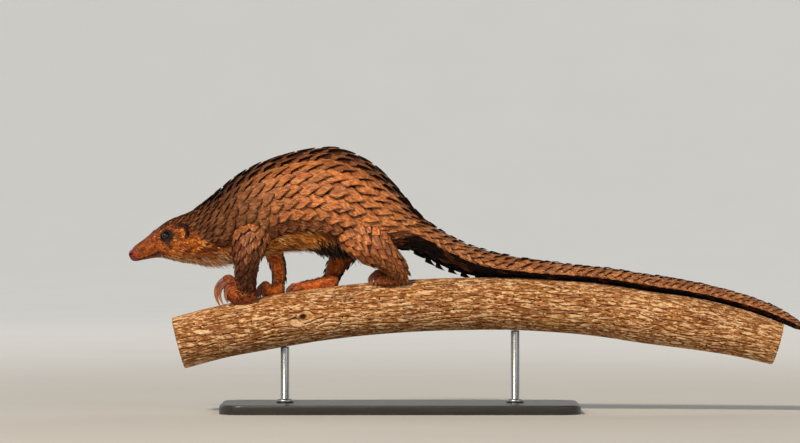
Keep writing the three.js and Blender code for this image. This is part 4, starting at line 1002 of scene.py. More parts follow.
def plate_mesh(name, part, plates, horn):
    """One mesh of many horn plates. Plates is a dictionary of one value, or one for each plate."""
    track, count = PARTS[part], len(plates["s"])
    rows, columns = 10, 7
    u, v = np.linspace(0, 1, rows)[:, None], np.linspace(-1, 1, columns)
    get = {key: np.broadcast_to(value, count)[:, None, None] for key, value in plates.items()}
    widen = 0.74 + 0.26 * smooth(0, 0.36, u)
    narrow = 1 - get["taper"] * smooth(0.58, 1, u)
    cut = get["cut"] * abs(v) ** get["blunt"] * smooth(0.2, 1, u)
    straight = get["length"] * u * (1 - cut)
    aside = get["half"] * v * widen * narrow
    cosine, sine = np.cos(np.radians(get["yaw"])), np.sin(np.radians(get["yaw"]))
    along, across = straight * cosine - aside * sine, aside * cosine + straight * sine
    rate = np.maximum(track.girth_rate(get["s"] + 0.6 * get["length"], get["angle"]), 1.5)
    s, angle = get["s"] + along, get["angle"] + across / rate
    top = (get["base"] + get["rise"] * u - get["drop"] * v**2 * smooth(0.2, 0.9, u)
           + get["lift"] * smooth(0.5, 1, u) + get["roll"] * v * smooth(0.25, 0.6, u))
    thin = (1 - 0.72 * abs(v) ** 3) * (1 - 0.6 * smooth(0.7, 1, u))
    down = track.sections(s)[2] * (get["hang"] * smooth(0.45, 1, u))[..., None]
    points = [track.skin(s, angle, level) - down for level in (top, top - get["thick"] * thin)]
    # Faces of one plate: the top, the underside, and a rim round both.
    size = rows * columns
    top_faces = grid_faces(rows, columns, closed=False)
    grid = np.arange(size).reshape(rows, columns)
    rim = np.concatenate([grid[0], grid[1:, -1], grid[-1, -2::-1], grid[-2:0:-1, 0]])
    after = np.roll(rim, -1)
    sides = np.stack([after, rim, rim + size, after + size], -1)
    single = np.vstack([top_faces, top_faces[:, ::-1] + size, sides])
    faces = (single + 2 * size * np.arange(count)[:, None, None]).reshape(-1, 4)
    made = mesh_object(name, clear_of_branch(np.stack(points, 1).reshape(-1, 3)), faces)

    def both(over, under=None):
        layers = (over, over if under is None else under)
        return np.stack([np.broadcast_to(each, (count, rows, columns)) for each in layers], 1).ravel()

    # The lower side is the one that looks down; the dark band along it and the dark underside beneath it
    # are painted shade, as under a raised lower edge.
    lower = v * np.where(get["angle"] < 0, -1, 1)
    edge = np.maximum(abs(v) ** 4 * smooth(0.72, 0.95, u), smooth(0.88, 1, u))
    # Painted shade along the lower side and the lower tip, with a faint band on the upper side.
    margin = np.maximum(smooth(0.66, 0.9, lower), smooth(0.8, 0.97, u) * smooth(-0.05, 0.25, lower))
    margin = margin + 0.2 * smooth(0.8, 1, -lower) * smooth(0.9, 0.7, u)
    # Painted shade on each plate's underside, deepest on the lower side and under the tail's hanging teeth.
    below = 0.3 + 0.7 * np.maximum(smooth(0, 0.6, lower), smooth(0, 1, get["hang"]))
    # The pale worn rim is kept to the upper side of each tip, where it is also a painted highlight of light
    # catching the edge.
    set_numbers(made.data, along=both(u), edge=both(edge * get["rim"] * smooth(0.2, -0.2, lower)),
                margin=both(margin * get["painted_edge_shade_strength"]), under=both(0, below),
                **{key: both(get[key]) for key in ("tone", "grey", "red")})
    shift = np.random.default_rng(5).uniform(0, 400, (count, 2))[:, None, None, :]
    # In the flat layout each plate is a patch this wide at its own place.
    patch = 0.004
    home = bake_place(part, plates["s"] + 0.7 * plates["length"], plates["angle"])[:, None, None, :]
    small = np.stack(np.broadcast_arrays(u - 0.5, 0.5 * v), -1) * patch
    for layout, places in (("Plate", np.stack([across, along], -1) + shift), ("OFBake", home + small)):
        set_map(made.data, layout, np.stack([places, places], 1).reshape(-1, 2))
    finish_piece(made, horn, "scales")


def lattice(start, end, columns, spacing):
    """Places of a staggered lattice: the length, the angle and the spacing of each."""
    lengths = [start]
    while lengths[-1] < end:
        lengths.append(lengths[-1] + float(spacing(lengths[-1])))
    i, j = np.meshgrid(np.arange(len(lengths)), np.arange(columns), indexing="ij")
    odd = (i + j) % 2 == 1
    s = np.array(lengths)[i[odd]]
    return s, signed(ROUND * j[odd] / columns), spacing(s)


def inside_limbs(points, limit):
    """Whether each point is inside a leg."""
    return np.any([leg["track"].locate(points)[2] < limit for leg in LEGS], axis=0)


def body_plates(start_x, end_x, columns, sizes, seed):
    """The plates of one run of the body."""
    random = np.random.default_rng(seed)

    def spacing(s):
        return look_up(SCALE_SPACING, body_track.x_at(s))

    places = np.array(lattice(body_track.at_x(start_x), body_track.at_x(end_x), columns, spacing))
    reach = look_up(SCALE_REACH, body_track.x_at(places[0])) + random.normal(0, 2.5, len(places[0]))
    places = places[:, np.degrees(abs(places[1])) < reach]
    s, angle, step = places
    hidden = (inside_limbs(body_track.skin(s, angle, 1.0), -2.5)
              & inside_limbs(body_track.skin(s + step, angle, 1.5), -0.5))
    s, angle, step = places[:, ~hidden]
    x, turn, count = body_track.x_at(s), np.degrees(abs(angle)), len(s)
    # Small differences from scale to scale, then the places where scales differ: the tail, the shoulder,
    # the tail's edge row and underside, the top of the back, and the low flank. The tail's underside and
    # the top of the back are painted darker as shade.
    wobble = random.normal(0, 1, (6, count))
    half = ROUND / columns * body_track.girth_rate(s, angle) * look_up(SCALE_WIDTH, x)
    on_tail = smooth(6, 45, x)
    shoulder = smooth(-150, -172, x) * smooth(-240, -218, x) * smooth(52, 80, turn)
    edge_row = on_tail * np.clip(1 - abs(turn - 90) / 10, 0, 1)
    # The tail's underside, whose scales are painted nearly black as shade.
    under = smooth(-6, 16, x) * smooth(96, 108, turn)
    # The top of the back, whose scales are painted darker as shade.
    top = smooth(58, 20, turn) * (1 - on_tail) * smooth(-258, -200, x)
    rise = look_up(SCALE_RISE, x) * (1 + 0.9 * top)
    patch = under * (random.random(count) < 0.16)
    low = smooth(104, 120, turn) * (1 - smooth(-6, 30, x))
    # Painted shade darkens the tail's underside almost to black, with a few redder patches.
    tone = look_up(SCALE_TONE, x) * (1 + 0.12 * wobble[0]) * (1 - 0.975 * under + 0.35 * patch)
    # Painted shade darkens the top of the back; the edge row is lighter and the low flank darker.
    tone *= (1 - 0.58 * top) * (1 + 0.25 * edge_row) * (1 - 0.42 * low)
    lift = sizes.scale_lift / TIP_LIFT * look_up(SCALE_LIFT, x) * np.clip(1 + 0.7 * wobble[4], 0.1, 2.6)
    return {
        "s": s - 1.95 * step, "angle": angle,
        "length": (3.3 + 0.4 * edge_row) * step * (1 + 0.07 * wobble[1]),
        "half": half * sizes.scale_width * (1 + 0.3 * shoulder) * (1 + 0.05 * wobble[2]),
        "yaw": -3 * np.sign(angle) * (1 - on_tail) + 2.4 * wobble[3],
        "rise": rise, "thick": 0.5 + 0.2 * rise + 1.3 * top, "base": -0.66 * rise - 0.35,
        "lift": lift + 2.4 * edge_row * step / 8, "drop": 0.15,
        "roll": np.sign(angle) * smooth(4, 26, turn) * rise * (0.62 - 0.25 * on_tail),
        "hang": edge_row * look_up(TAIL_TEETH, x) * np.where(angle < 0, 1, 0.8),
        "taper": 0.22 + 0.26 * on_tail + 0.25 * edge_row,
        "cut": 0.5 + 0.04 * wobble[5] - 0.16 * on_tail + 0.12 * edge_row - 0.28 * shoulder,
        "blunt": 1.1 + 0.65 * shoulder, "tone": np.clip(tone, 0.02, 1.4),
        "grey": np.clip(look_up(SCALE_GREY, x) * np.clip(1 + 0.3 * wobble[0], 0, 2), 0, 1),
        "red": np.clip(0.7 * low + 0.25 * smooth(-285, -300, x) + 0.3 * under + patch, 0, 1),
        # Strength of the painted shade along each scale's lower side, less on the shoulder.
        "rim": 0.45 + 0.5 * shoulder + 0.2 * on_tail, "painted_edge_shade_strength": 1 - 0.45 * shoulder,
    }


def limb_plates(leg, on_foot, sizes, seed):
    """The plates of a leg, smaller and rounder towards the foot, or of the top of a foot."""
    random = np.random.default_rng(seed)
    track, out, columns = leg["track"], leg["out"], leg["columns"]
    first, last, end = 1.25 * leg["spacing"], 0.75 * leg["spacing"], track.length - 3
    middle, reach = out * math.pi / 2, leg["reach"]
    if on_foot:
        track, columns, first, last = leg["sole"], 16, 3.4, 2.6
        end, middle, reach = leg["foot_scales"] * track.length, out * math.pi / 4, 80

    def spacing(s):
        return first + (last - first) * np.asarray(s) / track.length

    places = np.array(lattice(2.0, end, columns, spacing))
    away = np.degrees(abs(wrapped(places[1] - middle)))
    places = places[:, away < reach + random.normal(0, 5, len(away))]
    s, angle, step = places
    tip, root = track.skin(s + 1.2 * step, angle, 1.2), track.skin(s - 0.4 * step, angle, 0.5)
    if on_foot:
        buried = leg["track"].locate(tip)[2] < 0.2
    else:
        buried = (body_track.locate(tip)[2] < 0.4) | (body_track.locate(root)[2] < -3)
    s, angle, step = places[:, ~buried]
    wobble = random.normal(0, 1, (5, len(s)))
    share = np.ones(len(s)) if on_foot else s / track.length
    rise = 1.1 if on_foot else 3.0 - 1.7 * share
    tone = leg["tone"] * (1 + 0.14 * wobble[4]) * (1 - leg["fade"] * smooth(0.15, 0.8, share))
    width = (leg["width"] + 0.05 * wobble[1]) * sizes.scale_width
    return {
        "s": s - 1.9 * step, "angle": angle, "length": 3.4 * step * (1 + 0.08 * wobble[0]),
        "half": ROUND / columns * track.girth_rate(s, angle) * width,
        "yaw": out * leg["yaw"] * np.clip(1 - 1.1 * share, 0, 1) + 5 * wobble[2],
        "rise": rise, "thick": 0.4 + 0.2 * rise, "base": -0.6 * rise - 0.4, "drop": 0.25,
        "lift": sizes.scale_lift / TIP_LIFT * np.clip(1.1 - 0.5 * share + 0.5 * wobble[3], 0.1, 2.4),
        "roll": 0.5 * np.sign(angle) * rise / 3, "hang": 0.0,
        "taper": 0.28 + 0.1 * share, "cut": 0.28 + 0.03 * wobble[4], "blunt": 1.5,
        "tone": np.clip(tone, 0.1, 1.2), "grey": np.clip(0.25 * (1 - share) + 0.1 * wobble[0], 0, 1),
        "red": np.clip(leg["red"] * (1 if on_foot else smooth(0.15, 0.6, share)), 0, 1),
        # Strength of the painted shade along each scale's lower side.
        "rim": 0.9 - 0.3 * share, "painted_edge_shade_strength": 0.8,
    }


def make_scales(sizes, colours):
    """All scales: four runs of the body, and each leg and foot."""
    horn = keratin_material(colours)
    for index, (name, start, end, columns) in enumerate(SCALE_RUNS):
        plate_mesh(name, 0, body_plates(start, end, columns, sizes, 60 + index), horn)
    for index, leg in enumerate(LEGS):
        for on_foot, ending in enumerate(("", "_foot")):
            plates = limb_plates(leg, on_foot, sizes, 70 + 10 * on_foot + index)
            plate_mesh(f"scales_{leg['name']}{ending}", index + 1 + 4 * on_foot, plates, horn)


# Fur


def face_samples(mesh, weight, density, seed):
    """Random places on a mesh, as many for each square millimetre as the weight times density."""
    random = np.random.default_rng(seed)
    mesh.calc_loop_triangles()
    corners = read(mesh.loop_triangles, "vertices", 3).reshape(-1, 3)
    a, b, c = points_of(mesh)[corners.T]
    normal = np.cross(b - a, c - a)
    wanted = np.linalg.norm(normal, axis=1) / 2 * weight[corners].mean(1) * density
    count = np.floor(wanted + random.random(len(wanted))).astype(int)
    face = np.repeat(np.arange(len(count)), count)
    first, second = random.random((2, len(face)))
    over = first + second > 1
    first[over], second[over] = 1 - first[over], 1 - second[over]
    place = a[face] + (b - a)[face] * first[:, None] + (c - a)[face] * second[:, None]
    return place, unit(normal[face]), random


def tuft_mesh(name, place, normal, lie, length, width, stand, colour, tone, home, random, material):
    """One mesh of thin tapered tufts that lean along the lie of the coat."""
    count = len(place)
    lie = unit(lie - normal * (lie * normal).sum(1)[:, None])
    lie = unit(lie + 0.22 * random.normal(0, 1, (count, 3)))
    side = unit(np.cross(normal, lie))
    # Four rings of three points each, with their places along the tuft and their widths.
    stops, rings = np.array([0, 0.35, 0.72, 1.0]), []
    for t, size in zip(stops, (1, 0.92, 0.55, 0.06)):
        rise = stand[:, None] * normal * (0.9 * t - 0.38 * t * t)
        centre = place - 0.4 * normal + (lie * t + rise) * length[:, None]
        across = side * (width * size)[:, None]
        deep = normal * (0.5 * width * size)[:, None]
        rings.append(np.stack([centre - across, centre + across, centre + deep], 1))
    points = clear_of_branch(np.stack(rings, 1).reshape(-1, 3))
    corners = 12
    offset = corners * np.arange(count)[:, None, None]
    blocks = [(grid_faces(4, 3) + offset).reshape(-1, 4),
              (np.array([[2, 1, 0], [9, 10, 11]]) + offset).reshape(-1, 3)]
    made = mesh_object(name, points, blocks)
    along = np.repeat(stops, 3)
    set_numbers(made.data, marking=np.repeat(colour, corners, 0), along=np.tile(along, count),
                tone=np.repeat(tone, corners))
    # In the flat layout each tuft is a patch this wide at its own place.
    patch = 0.003
    local = np.stack([along - 0.5, np.tile([-0.5, 0.5, 0], 4)], -1) * patch
    set_map(made.data, "OFBake", (home[:, None] + local).reshape(-1, 2))
    finish_piece(made, material, "furred_skin")


def fur_regions(part, found):
    """Weights of the head's, belly's and limbs' fur at each point of the skin."""
    s, angle, _ = found[0]
    x, turn = body_track.x_at(s), np.degrees(abs(angle))
    reach = look_up(SCALE_REACH, x)
    open_skin = (part == 0) * smooth(reach - 12, reach - 4, turn)
    eye_back, eye_up = head_offsets(s, angle, EYE)
    ear_back, ear_up = head_offsets(s, angle, EAR)
    free = smooth(1.2, 1.9, np.hypot(eye_back / 6.5, eye_up / 6)) * smooth(
        0.7, 1.1, np.hypot((ear_back - 1) / 3, (ear_up + 0.5) / 6))
    head = open_skin * smooth(-322, -300, x) * smooth(-226, -240, x) * free
    belly = open_skin * smooth(-240, -226, x) * smooth(-38, -52, x)
    limbs = np.zeros(len(s))
    for index, leg in enumerate(LEGS, 1):
        along, round_leg, _ = found[index]
        inward = -np.cos(round_leg - leg["out"] * math.pi / 2)
        limbs += (part == index) * smooth(-0.1, 0.35, inward) * smooth(
            leg["track"].length, leg["track"].length - 12, along)
        share = found[index + 4][0] / leg["sole"].length
        limbs += 0.7 * (part == index + 4) * smooth(0.95, 0.7, share)
    return head, belly, limbs


def make_fur(skin, part, found, sizes, material):
    """Tufts on cheeks and throat, on the belly, and on the inner sides of the legs."""
    # Name, density, shortest and longest hair, width, seed, size of a lock, and its two shades.
    plans = (
        ("fur_head", 0.52, 3.6, 8.6, 0.6, 21, (8, 2.8), "#5a1e08", "#f2a652"),
        ("fur_belly", 0.42, 9, 11, 0.7, 22, (13, 3.6), "#7c3a10", "#ffc478"),
        ("fur_limbs", 0.4, 3, 4.6, 0.45, 23, (8, 3), "#80380f", "#f29c48"),
    )
    for weight, plan in zip(fur_regions(part, found), plans):
        name, density, short, long, width, seed, lock, dark, pale = plan
        place, normal, random = face_samples(skin.data, weight, density * sizes.tufts / TUFTS, seed)
        count = len(place)
        nearest = np.argmin(np.abs([track.locate(place)[2] for track in PARTS]), axis=0)
        s, angle, _ = body_track.locate(place)
        x, turn = body_track.x_at(s), np.degrees(abs(angle))
        lie, home = np.zeros((count, 3)), np.zeros((count, 2))
        colour, draw = np.zeros((count, 3)), np.zeros(count)
        locks = random.random(997)
        for index, track in enumerate(PARTS):
            mine = nearest == index
            if not mine.any():
                continue
            at, round_it, _ = track.locate(place[mine])
            # Hairs of one lock share their shade.
            loose = random.normal(0, 0.16, (2, len(at)))
            row = np.floor(at / lock[0] + 0.5 * np.sin(9 * round_it) + loose[0])
            column = np.floor(abs(round_it) * track.girth_rate(at, round_it).mean() / lock[1] + loose[1])
            draw[mine] = locks[(61 * row + 17 * column).astype(int) % len(locks)]
            lie[mine] = track.sections(at)[1] + (0, 0, 0 if index else -0.45)
            # Tufts take the skin's markings, with the painted shade in them.
            colour[mine] = markings(index, at, round_it)[0]
            home[mine] = bake_place(index, at, round_it)
        reach, stand = np.where(nearest > 4, 0.95 * short, (short + long) / 2), np.full(count, 0.3)
        if name == "fur_head":
            throat = smooth(-275, -250, x) * smooth(132, 162, turn)
            reach = short + (long - short) * smooth(-300, -262, x) * smooth(95, 150, turn) + 3 * throat
            stand = 0.28 + 0.85 * throat
        length = reach * sizes.belly_hair / BELLY_HAIR * random.uniform(0.7, 1.25, count)
        tone = np.clip(random.normal(1.0, 0.2, count), 0.5, 1.6)
        blend_in(colour, (dark, 0.8 * smooth(0.4, 0.15, draw)))
        blend_in(colour, (pale, 0.8 * smooth(0.6, 0.85, draw) * smooth(0.02, 0.07, colour.mean(1))))
        if name == "fur_head":
            blend_in(colour, ("#e6cba6", 0.8 * smooth(128, 150, turn) * (random.random(count) < 0.35)))
        tuft_mesh(name, place, normal, lie, length, width * random.uniform(0.75, 1.25, count),
                  stand, colour, tone, home, random, material)


def make_dark_fur(material):
    """The black hair and blades that hang between the belly and the hind legs."""
    random = np.random.default_rng(31)
    for name, count, lengths, widths in (
            ("fur_dark", 700, (7, 15), (0.6, 1.3)), ("blades_dark", 44, (11, 18), (1.8, 2.9))):
        s = body_track.at_x(random.uniform(-102, -36, count))
        angle = random.choice([-1, 1], count) * np.radians(random.uniform(136, 172, count))
        place = body_track.skin(s, angle, -2.5)
        normal = unit(place - body_track.sections(s)[0])
        lie = (0.35, 0, -1.0) + random.normal(0, 0.2, (count, 3))
        tuft_mesh(name, place, normal, lie, random.uniform(*lengths, count),
                  random.uniform(*widths, count), random.uniform(0.3, 1.5, count),
                  np.tile(linear("#130b07"), (count, 1)), random.uniform(0.6, 1.6, count),
                  bake_place(0, s, angle), random, material)


# Claws and eyes


def make_claws(colours):
    """Twenty curved claws, each a horn with a ridged back and a flatter underside."""
    material = claw_material(colours)
    rings, around = 18, 16
    t, angle = np.linspace(-0.06, 1, rings)[:, None], turns(around)
    taper = np.maximum(0.03, (1 - np.clip(t, 0, 1)) ** 0.62)
    # The back is rounded with a low ridge, and the underside has a shallow channel.
    shape = 1 + 0.06 * np.cos(2 * angle) - 0.16 * bump_at(angle, math.pi, 0.5)
    shares = np.append(np.repeat(t, around), [0, 1])
    for leg in LEGS:
        for digit, (root, bend, end, _, thick) in enumerate(claw_lines(leg)):
            curve = (1 - t) ** 2 * root + 2 * t * (1 - t) * bend + t * t * end
            along = unit(2 * (1 - t) * (bend - root) + 2 * t * (end - bend))
            across = unit(np.cross(bend - root, end - root))
            out = np.cross(along, across)
            deep = taper * thick * (np.cos(angle) * shape)
            wide = taper * thick * CLAW_NARROWNESS * (np.sin(angle) * shape)
            points = curve[:, None] + out[:, None] * deep[..., None] + across * wide[..., None]
            ends = (curve[0], curve[-1] + along[-1] * 0.2)
            points, faces = capped(points.reshape(-1, 3), ends, around, flip=True)
            name = f"claw_{leg['name'].replace('leg', 'foot')}_{digit + 1}"
            made = mesh_object(name + "_horn", clear_of_branch(points, 0.1), faces)
            set_numbers(made.data, along=shares)
            turn = np.append(np.tile(angle * thick, rings), [0, 0])
            reach = np.linalg.norm(end - root)
            set_map(made.data, "Plate", np.stack([turn, shares * reach + 50 * digit], -1))
            finish_piece(made, material, "claws", name)


def make_eyes(colours):
    """Two glossy eyeballs set in the lids, each with a slight bulge of the cornea."""
    material = eye_material(colours)
    rings, around = 34, 48
    polar, turn = np.linspace(0.02, math.pi - 0.02, rings)[:, None], turns(around)
    bulge = EYE["radius"] + 0.35 * bump_at(polar, 0, 0.55)
    away, flat = np.cos(polar) * bulge, np.sin(polar) * bulge
    for side, sign in (("left", 1), ("right", -1)):
        s, angle = body_track.at_x(EYE["x"]), math.radians(EYE["angle"]) * sign
        ahead = body_track.skin(s + 0.4, angle) - body_track.skin(s - 0.4, angle)
        round_it = body_track.skin(s, angle + 0.05) - body_track.skin(s, angle - 0.05)
        outward = unit(np.cross(round_it, ahead))
        centre = body_track.skin(s, angle) - outward * EYE["depth"]
        back = unit(np.cross(UP, outward))
        up = np.cross(outward, back)
        points = (centre + outward * away[..., None] + back * (flat * np.cos(turn))[..., None]
                  + up * (flat * np.sin(turn))[..., None])
        ends = (centre + outward * bulge[0], centre - outward * bulge[-1])
        points, faces = capped(points.reshape(-1, 3), ends, around, flip=True)
        made = mesh_object(f"eyeball_{side}", points, faces)
        set_numbers(made.data, ring=np.append(np.repeat(np.sin(polar), around), [0, 0]))
        finish_piece(made, material, "eyes", f"eye_{side}")


# Perch


def cell_pattern(s, around, length, width, girth, seed):
    """Long cells on the branch: millimetres from each point to its cell's border, and a number
    for its cell. The borders that run across the branch count as farther off, so they are thin."""
    random = np.random.default_rng(seed)
    cells_round = round(girth / width)
    row, column = s / length + 2, around / girth * cells_round
    rows = int(row.max()) + 3
    jitter = random.uniform(0.08, 0.92, (rows, cells_round, 2))
    value = random.random((rows, cells_round))
    i, j = np.floor(row).astype(int), np.floor(column).astype(int)
    offsets, numbers = [], []
    for di in (-1, 0, 1):
        for dj in (-1, 0, 1):
            cell = np.clip(i + di, 0, rows - 1), (j + dj) % cells_round
            spot = jitter[cell]
            offsets.append(np.stack([i + di + spot[..., 0] - row, j + dj + spot[..., 1] - column], -1))
            numbers.append(value[cell])
    offsets, numbers = np.array(offsets), np.array(numbers)
    first = np.argmin((offsets**2).sum(-1), axis=0)[None]
    mine = np.take_along_axis(offsets, first[..., None], 0)[0]
    border = np.full(s.shape, 99.0)
    for offset in offsets:
        between = offset - mine
        apart = np.linalg.norm(between, axis=-1)
        far = np.maximum(apart, 1e-6)
        half_way = ((offset + mine) / 2 * between).sum(-1) / far
        lengthwise, sideways = abs(between[..., 0]) / far, abs(between[..., 1]) / far
        slant = np.maximum(np.hypot(lengthwise / length, sideways / width), 1e-9)
        distance = half_way / slant * (1 + 1.5 * lengthwise)
        border = np.where(apart > 1e-6, np.minimum(border, distance), border)
    return border, np.take_along_axis(numbers, first, 0)[0]


def make_perch(sizes, colours):
    """The cut branch, with interlacing ridges of bark, a knot and two sawn ends."""
    track = branch_track
    rings = int(track.length / BARK["step_along"])
    thickness = float(track.values[:, 3].mean())
    girth = ROUND * thickness
    columns = int(girth / BARK["step_round"])
    lengths = np.linspace(0, track.length, rings)
    s, angle = np.meshgrid(lengths, turns(columns), indexing="ij")
    # The bark's cells bend round the knot and wander along the branch.
    aside = wrapped(angle - math.radians(KNOT["angle"])) * thickness
    knot_gap = np.hypot((s - track.at_x(KNOT["x"])) / 1.4, aside)
    bent = -0.75 * aside * bump_at(knot_gap, 0, 15)
    wave = 2.2 * np.sin(s / 31 + 2 * np.sin(angle)) + 1.1 * np.sin(s / 11.5 + 5 * angle)
    around = (angle * thickness + bent + wave) % girth
    along = np.clip(s + 5 * np.sin(3 * angle + s / 43), 0, None)
    border, number = cell_pattern(along, around, BARK["length"], BARK["width"], girth, 41)
    fine_border, fine_number = cell_pattern(
        along, around, BARK["flake_length"], BARK["flake_width"], girth, 42)
    # Fissures and flakes, then the knot's rim, hollow and rings, and the worn edge of the ends.
    height = -sizes.bark_depth / MM * (1 - smooth(0.0, 1.5, border)) * (0.55 + 0.45 * number)
    height -= BARK["flake_depth"] * (1 - smooth(0, 0.7, fine_border)) + 0.7 * fine_number
    share = knot_gap / KNOT["radius"]
    height += 1.5 * bump_at(share, 1.0, 0.3) - 3.2 * smooth(0.6, 0.1, share)
    height += 0.5 * np.cos(share * 14) * smooth(1.0, 0.8, share)
    near_end = np.minimum(s, track.length - s)
    height = np.clip(height + 0.9 - 1.2 * smooth(1.6, 0, near_end), -5, 0.25)
    walls = track.skin(s, angle, height)
    # Each sawn end is flat and drawn in rings from its rim to its middle.
    points, blocks = [walls.reshape(-1, 3)], [grid_faces(rings, columns)]
    flat, first = len(blocks[0]), rings * columns
    shares = np.array([0.8, 0.55, 0.3, 0.1])[:, None, None]
    for ring in (0, rings - 1):
        centre = track.sections(lengths[ring])[0]
        inner = (centre + (walls[ring] - centre) * shares).reshape(-1, 3)
        points += [inner, centre[None]]
        ids = np.vstack([ring * columns + np.arange(columns),
                         first + np.arange(len(inner)).reshape(-1, columns)])
        after = np.roll(ids, -1, axis=1)
        first += len(inner) + 1
        band = np.stack([ids[:-1], after[:-1], after[1:], ids[1:]], -1).reshape(-1, 4)
        tip = np.stack([ids[-1], after[-1], np.full(columns, first - 1)], -1)
        blocks += [band[:, ::-1], tip[:, ::-1]] if ring else [band, tip]
    made = mesh_object("branch_perch", np.vstack(points), blocks)
    mesh = made.data
    mesh.polygons.foreach_set("use_smooth", np.arange(len(mesh.polygons)) < flat)
    extra = np.zeros(len(mesh.vertices) - walls[..., 0].size)
    # Low in the fissures and, below, in the knot's hollow, which take a dark colour that is partly painted
    # shade.
    ridge = smooth(0.1, 1.0, border) * (0.6 + 0.4 * smooth(0, 0.5, fine_border))
    ridge *= 1 - 0.85 * smooth(0.62, 0.2, share)
    set_numbers(mesh, ridge=np.append(ridge, extra + 1),
                cell=np.append(0.3 * number + 0.7 * fine_number, extra))
    finish_piece(made, bark_material(colours), "perch_bark", "perch")


# Stand and stage


def rounds(profile, outline, middle=(0, 0)):
    """Rings of points: the outline scaled by each row's reach, at the row's height."""
    return np.vstack([np.column_stack([outline * reach + middle, np.full(len(outline), height)])
                      for reach, height in profile])


def make_stand(sizes, colours):
    """The dark wooden base with a rounded edge, and two steel rods with collars."""
    half, corner = np.array([BASE["length"], BASE["width"]]) / 2, BASE["corner"]
    arc = np.linspace(0, math.pi / 2, 13)
    outline = []
    for quarter, signs in enumerate(((1, 1), (-1, 1), (-1, -1), (1, -1))):
        turn = arc + quarter * math.pi / 2
        outline.append((half - corner) * signs + corner * circle(turn))
    outline = np.vstack(outline)
    inward = outline / np.linalg.norm(outline, axis=1)[:, None]
    edge, thickness, count = BASE["round"], BASE["thickness"], len(outline)
    # How far each ring of the board is set in from the outline, and its height.
    profile = [(0.6, 0), (0, 0.6)]
    profile += [(edge * (1 - math.cos(turn)), thickness - edge + edge * math.sin(turn))
                for turn in np.linspace(0, math.pi / 2, 7)]
    board = np.vstack([np.column_stack([outline - inward * inset, np.full(count, height)])
                       for inset, height in profile])
    base = mesh_object("stand_base_board", *capped(board, ([0, 0, 0], [0, 0, thickness]), count))
    polygons = base.data.polygons
    polygons.foreach_set("use_smooth", np.arange(len(polygons)) < len(polygons) - 2 * count)
    finish_piece(base, stained_wood_material(colours), "stand_base", "stand_base")
    steel = steel_material(colours)
    outline = circle(turns(48))
    for place, x in RODS.items():
        centre, _, _, _, radius, _, _ = branch_track.sections(branch_track.at_x(x))
        bottom, top = thickness + 0.3, float(centre[2] - radius) - 0.4
        r = sizes.rod_radius / MM
        # Radius and height of the collar on the base, the rod, and the saddle under the branch.
        steps = [(r + 5.4, bottom), (r + 6, bottom + 0.6), (r + 6, bottom + 3.4),
                 (r + 5.2, bottom + 4.2), (r + 0.5, bottom + 4.6), (r, bottom + 5.2),
                 (r, top - 2), (r - 0.5, top - 0.5)]
        points = rounds(steps, outline, (x, 0))
        rod = mesh_object(f"stand_rod_{place}_steel", *capped(
            points, ([x, 0, bottom], [x, 0, top]), len(outline)))
        finish_piece(rod, steel, "stand_rods", f"stand_rod_{place}")


def make_stage(colours):
    """A round studio of floor and wall in one sweep, soft lights, and the camera."""
    scene = bpy.context.scene
    wide, curve = STUDIO["radius"], STUDIO["curve"]
    profile = [(1.5, 0.0), (5.0, 0.0)]
    profile += [(wide - curve + curve * math.sin(t), curve * (1 - math.cos(t)))
                for t in np.linspace(0, math.pi / 2, 14)]
    profile.append((wide, STUDIO["height"]))
    count = 96
    points = np.vstack([rounds(profile, circle(turns(count))), [[0, 0, 0]]]) / MM
    j = np.arange(count)
    middle = np.stack([np.full(count, len(points) - 1), j, (j + 1) % count], -1)
    sweep = mesh_object("studio_sweep", points, [grid_faces(len(profile), count, flip=True), middle])
    sweep.data.materials.append(studio_material(colours))
    sweep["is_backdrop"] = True
    for name, place, size, power, colour, spread in LIGHTS:
        data = bpy.data.lights.new(name, "AREA")
        data.shape = "RECTANGLE"
        data.size, data.size_y = size
        data.spread = math.radians(spread)
        data.energy = power
        data.color = colour
        made = bpy.data.objects.new(name, data)
        made.location = place
        aim = Vector((0, 0, 0.2)) - Vector(place)
        made.rotation_euler = aim.to_track_quat("-Z", "Y").to_euler()
        made.visible_camera = False
        scene.collection.objects.link(made)
    world = bpy.data.worlds.new("studio_air")
    world.use_nodes = True
    background = world.node_tree.nodes["Background"]
    background.inputs["Color"].default_value = (0.86, 0.9, 0.95, 1)
    background.inputs["Strength"].default_value = 0.2
    scene.world = world
    data = bpy.data.cameras.new("camera")
    data.lens, data.sensor_width, data.sensor_fit = CAMERA["lens"], CAMERA["sensor"], "HORIZONTAL"
    data.clip_end = 60
    camera = bpy.data.objects.new("camera", data)
    camera.location = (0, -CAMERA["distance"], CAMERA["height"])
    camera.rotation_euler = (math.pi / 2, 0, 0)
    scene.collection.objects.link(camera)
    scene.camera = camera
    scene.view_settings.view_transform = "Standard"


# Settings that a user may change


def hue(name, code, about):
    """A colour setting whose default is a hex colour."""
    return bpy.props.FloatVectorProperty(
        name=name, description=about, subtype="COLOR", size=3, min=0, max=1, default=linear(code))


def distance(name, usual, least, most, about):
    """A setting for a length in metres."""
    return bpy.props.FloatProperty(
        name=name, description=about, default=usual, min=least, max=most, subtype="DISTANCE",
        unit="LENGTH", precision=5)


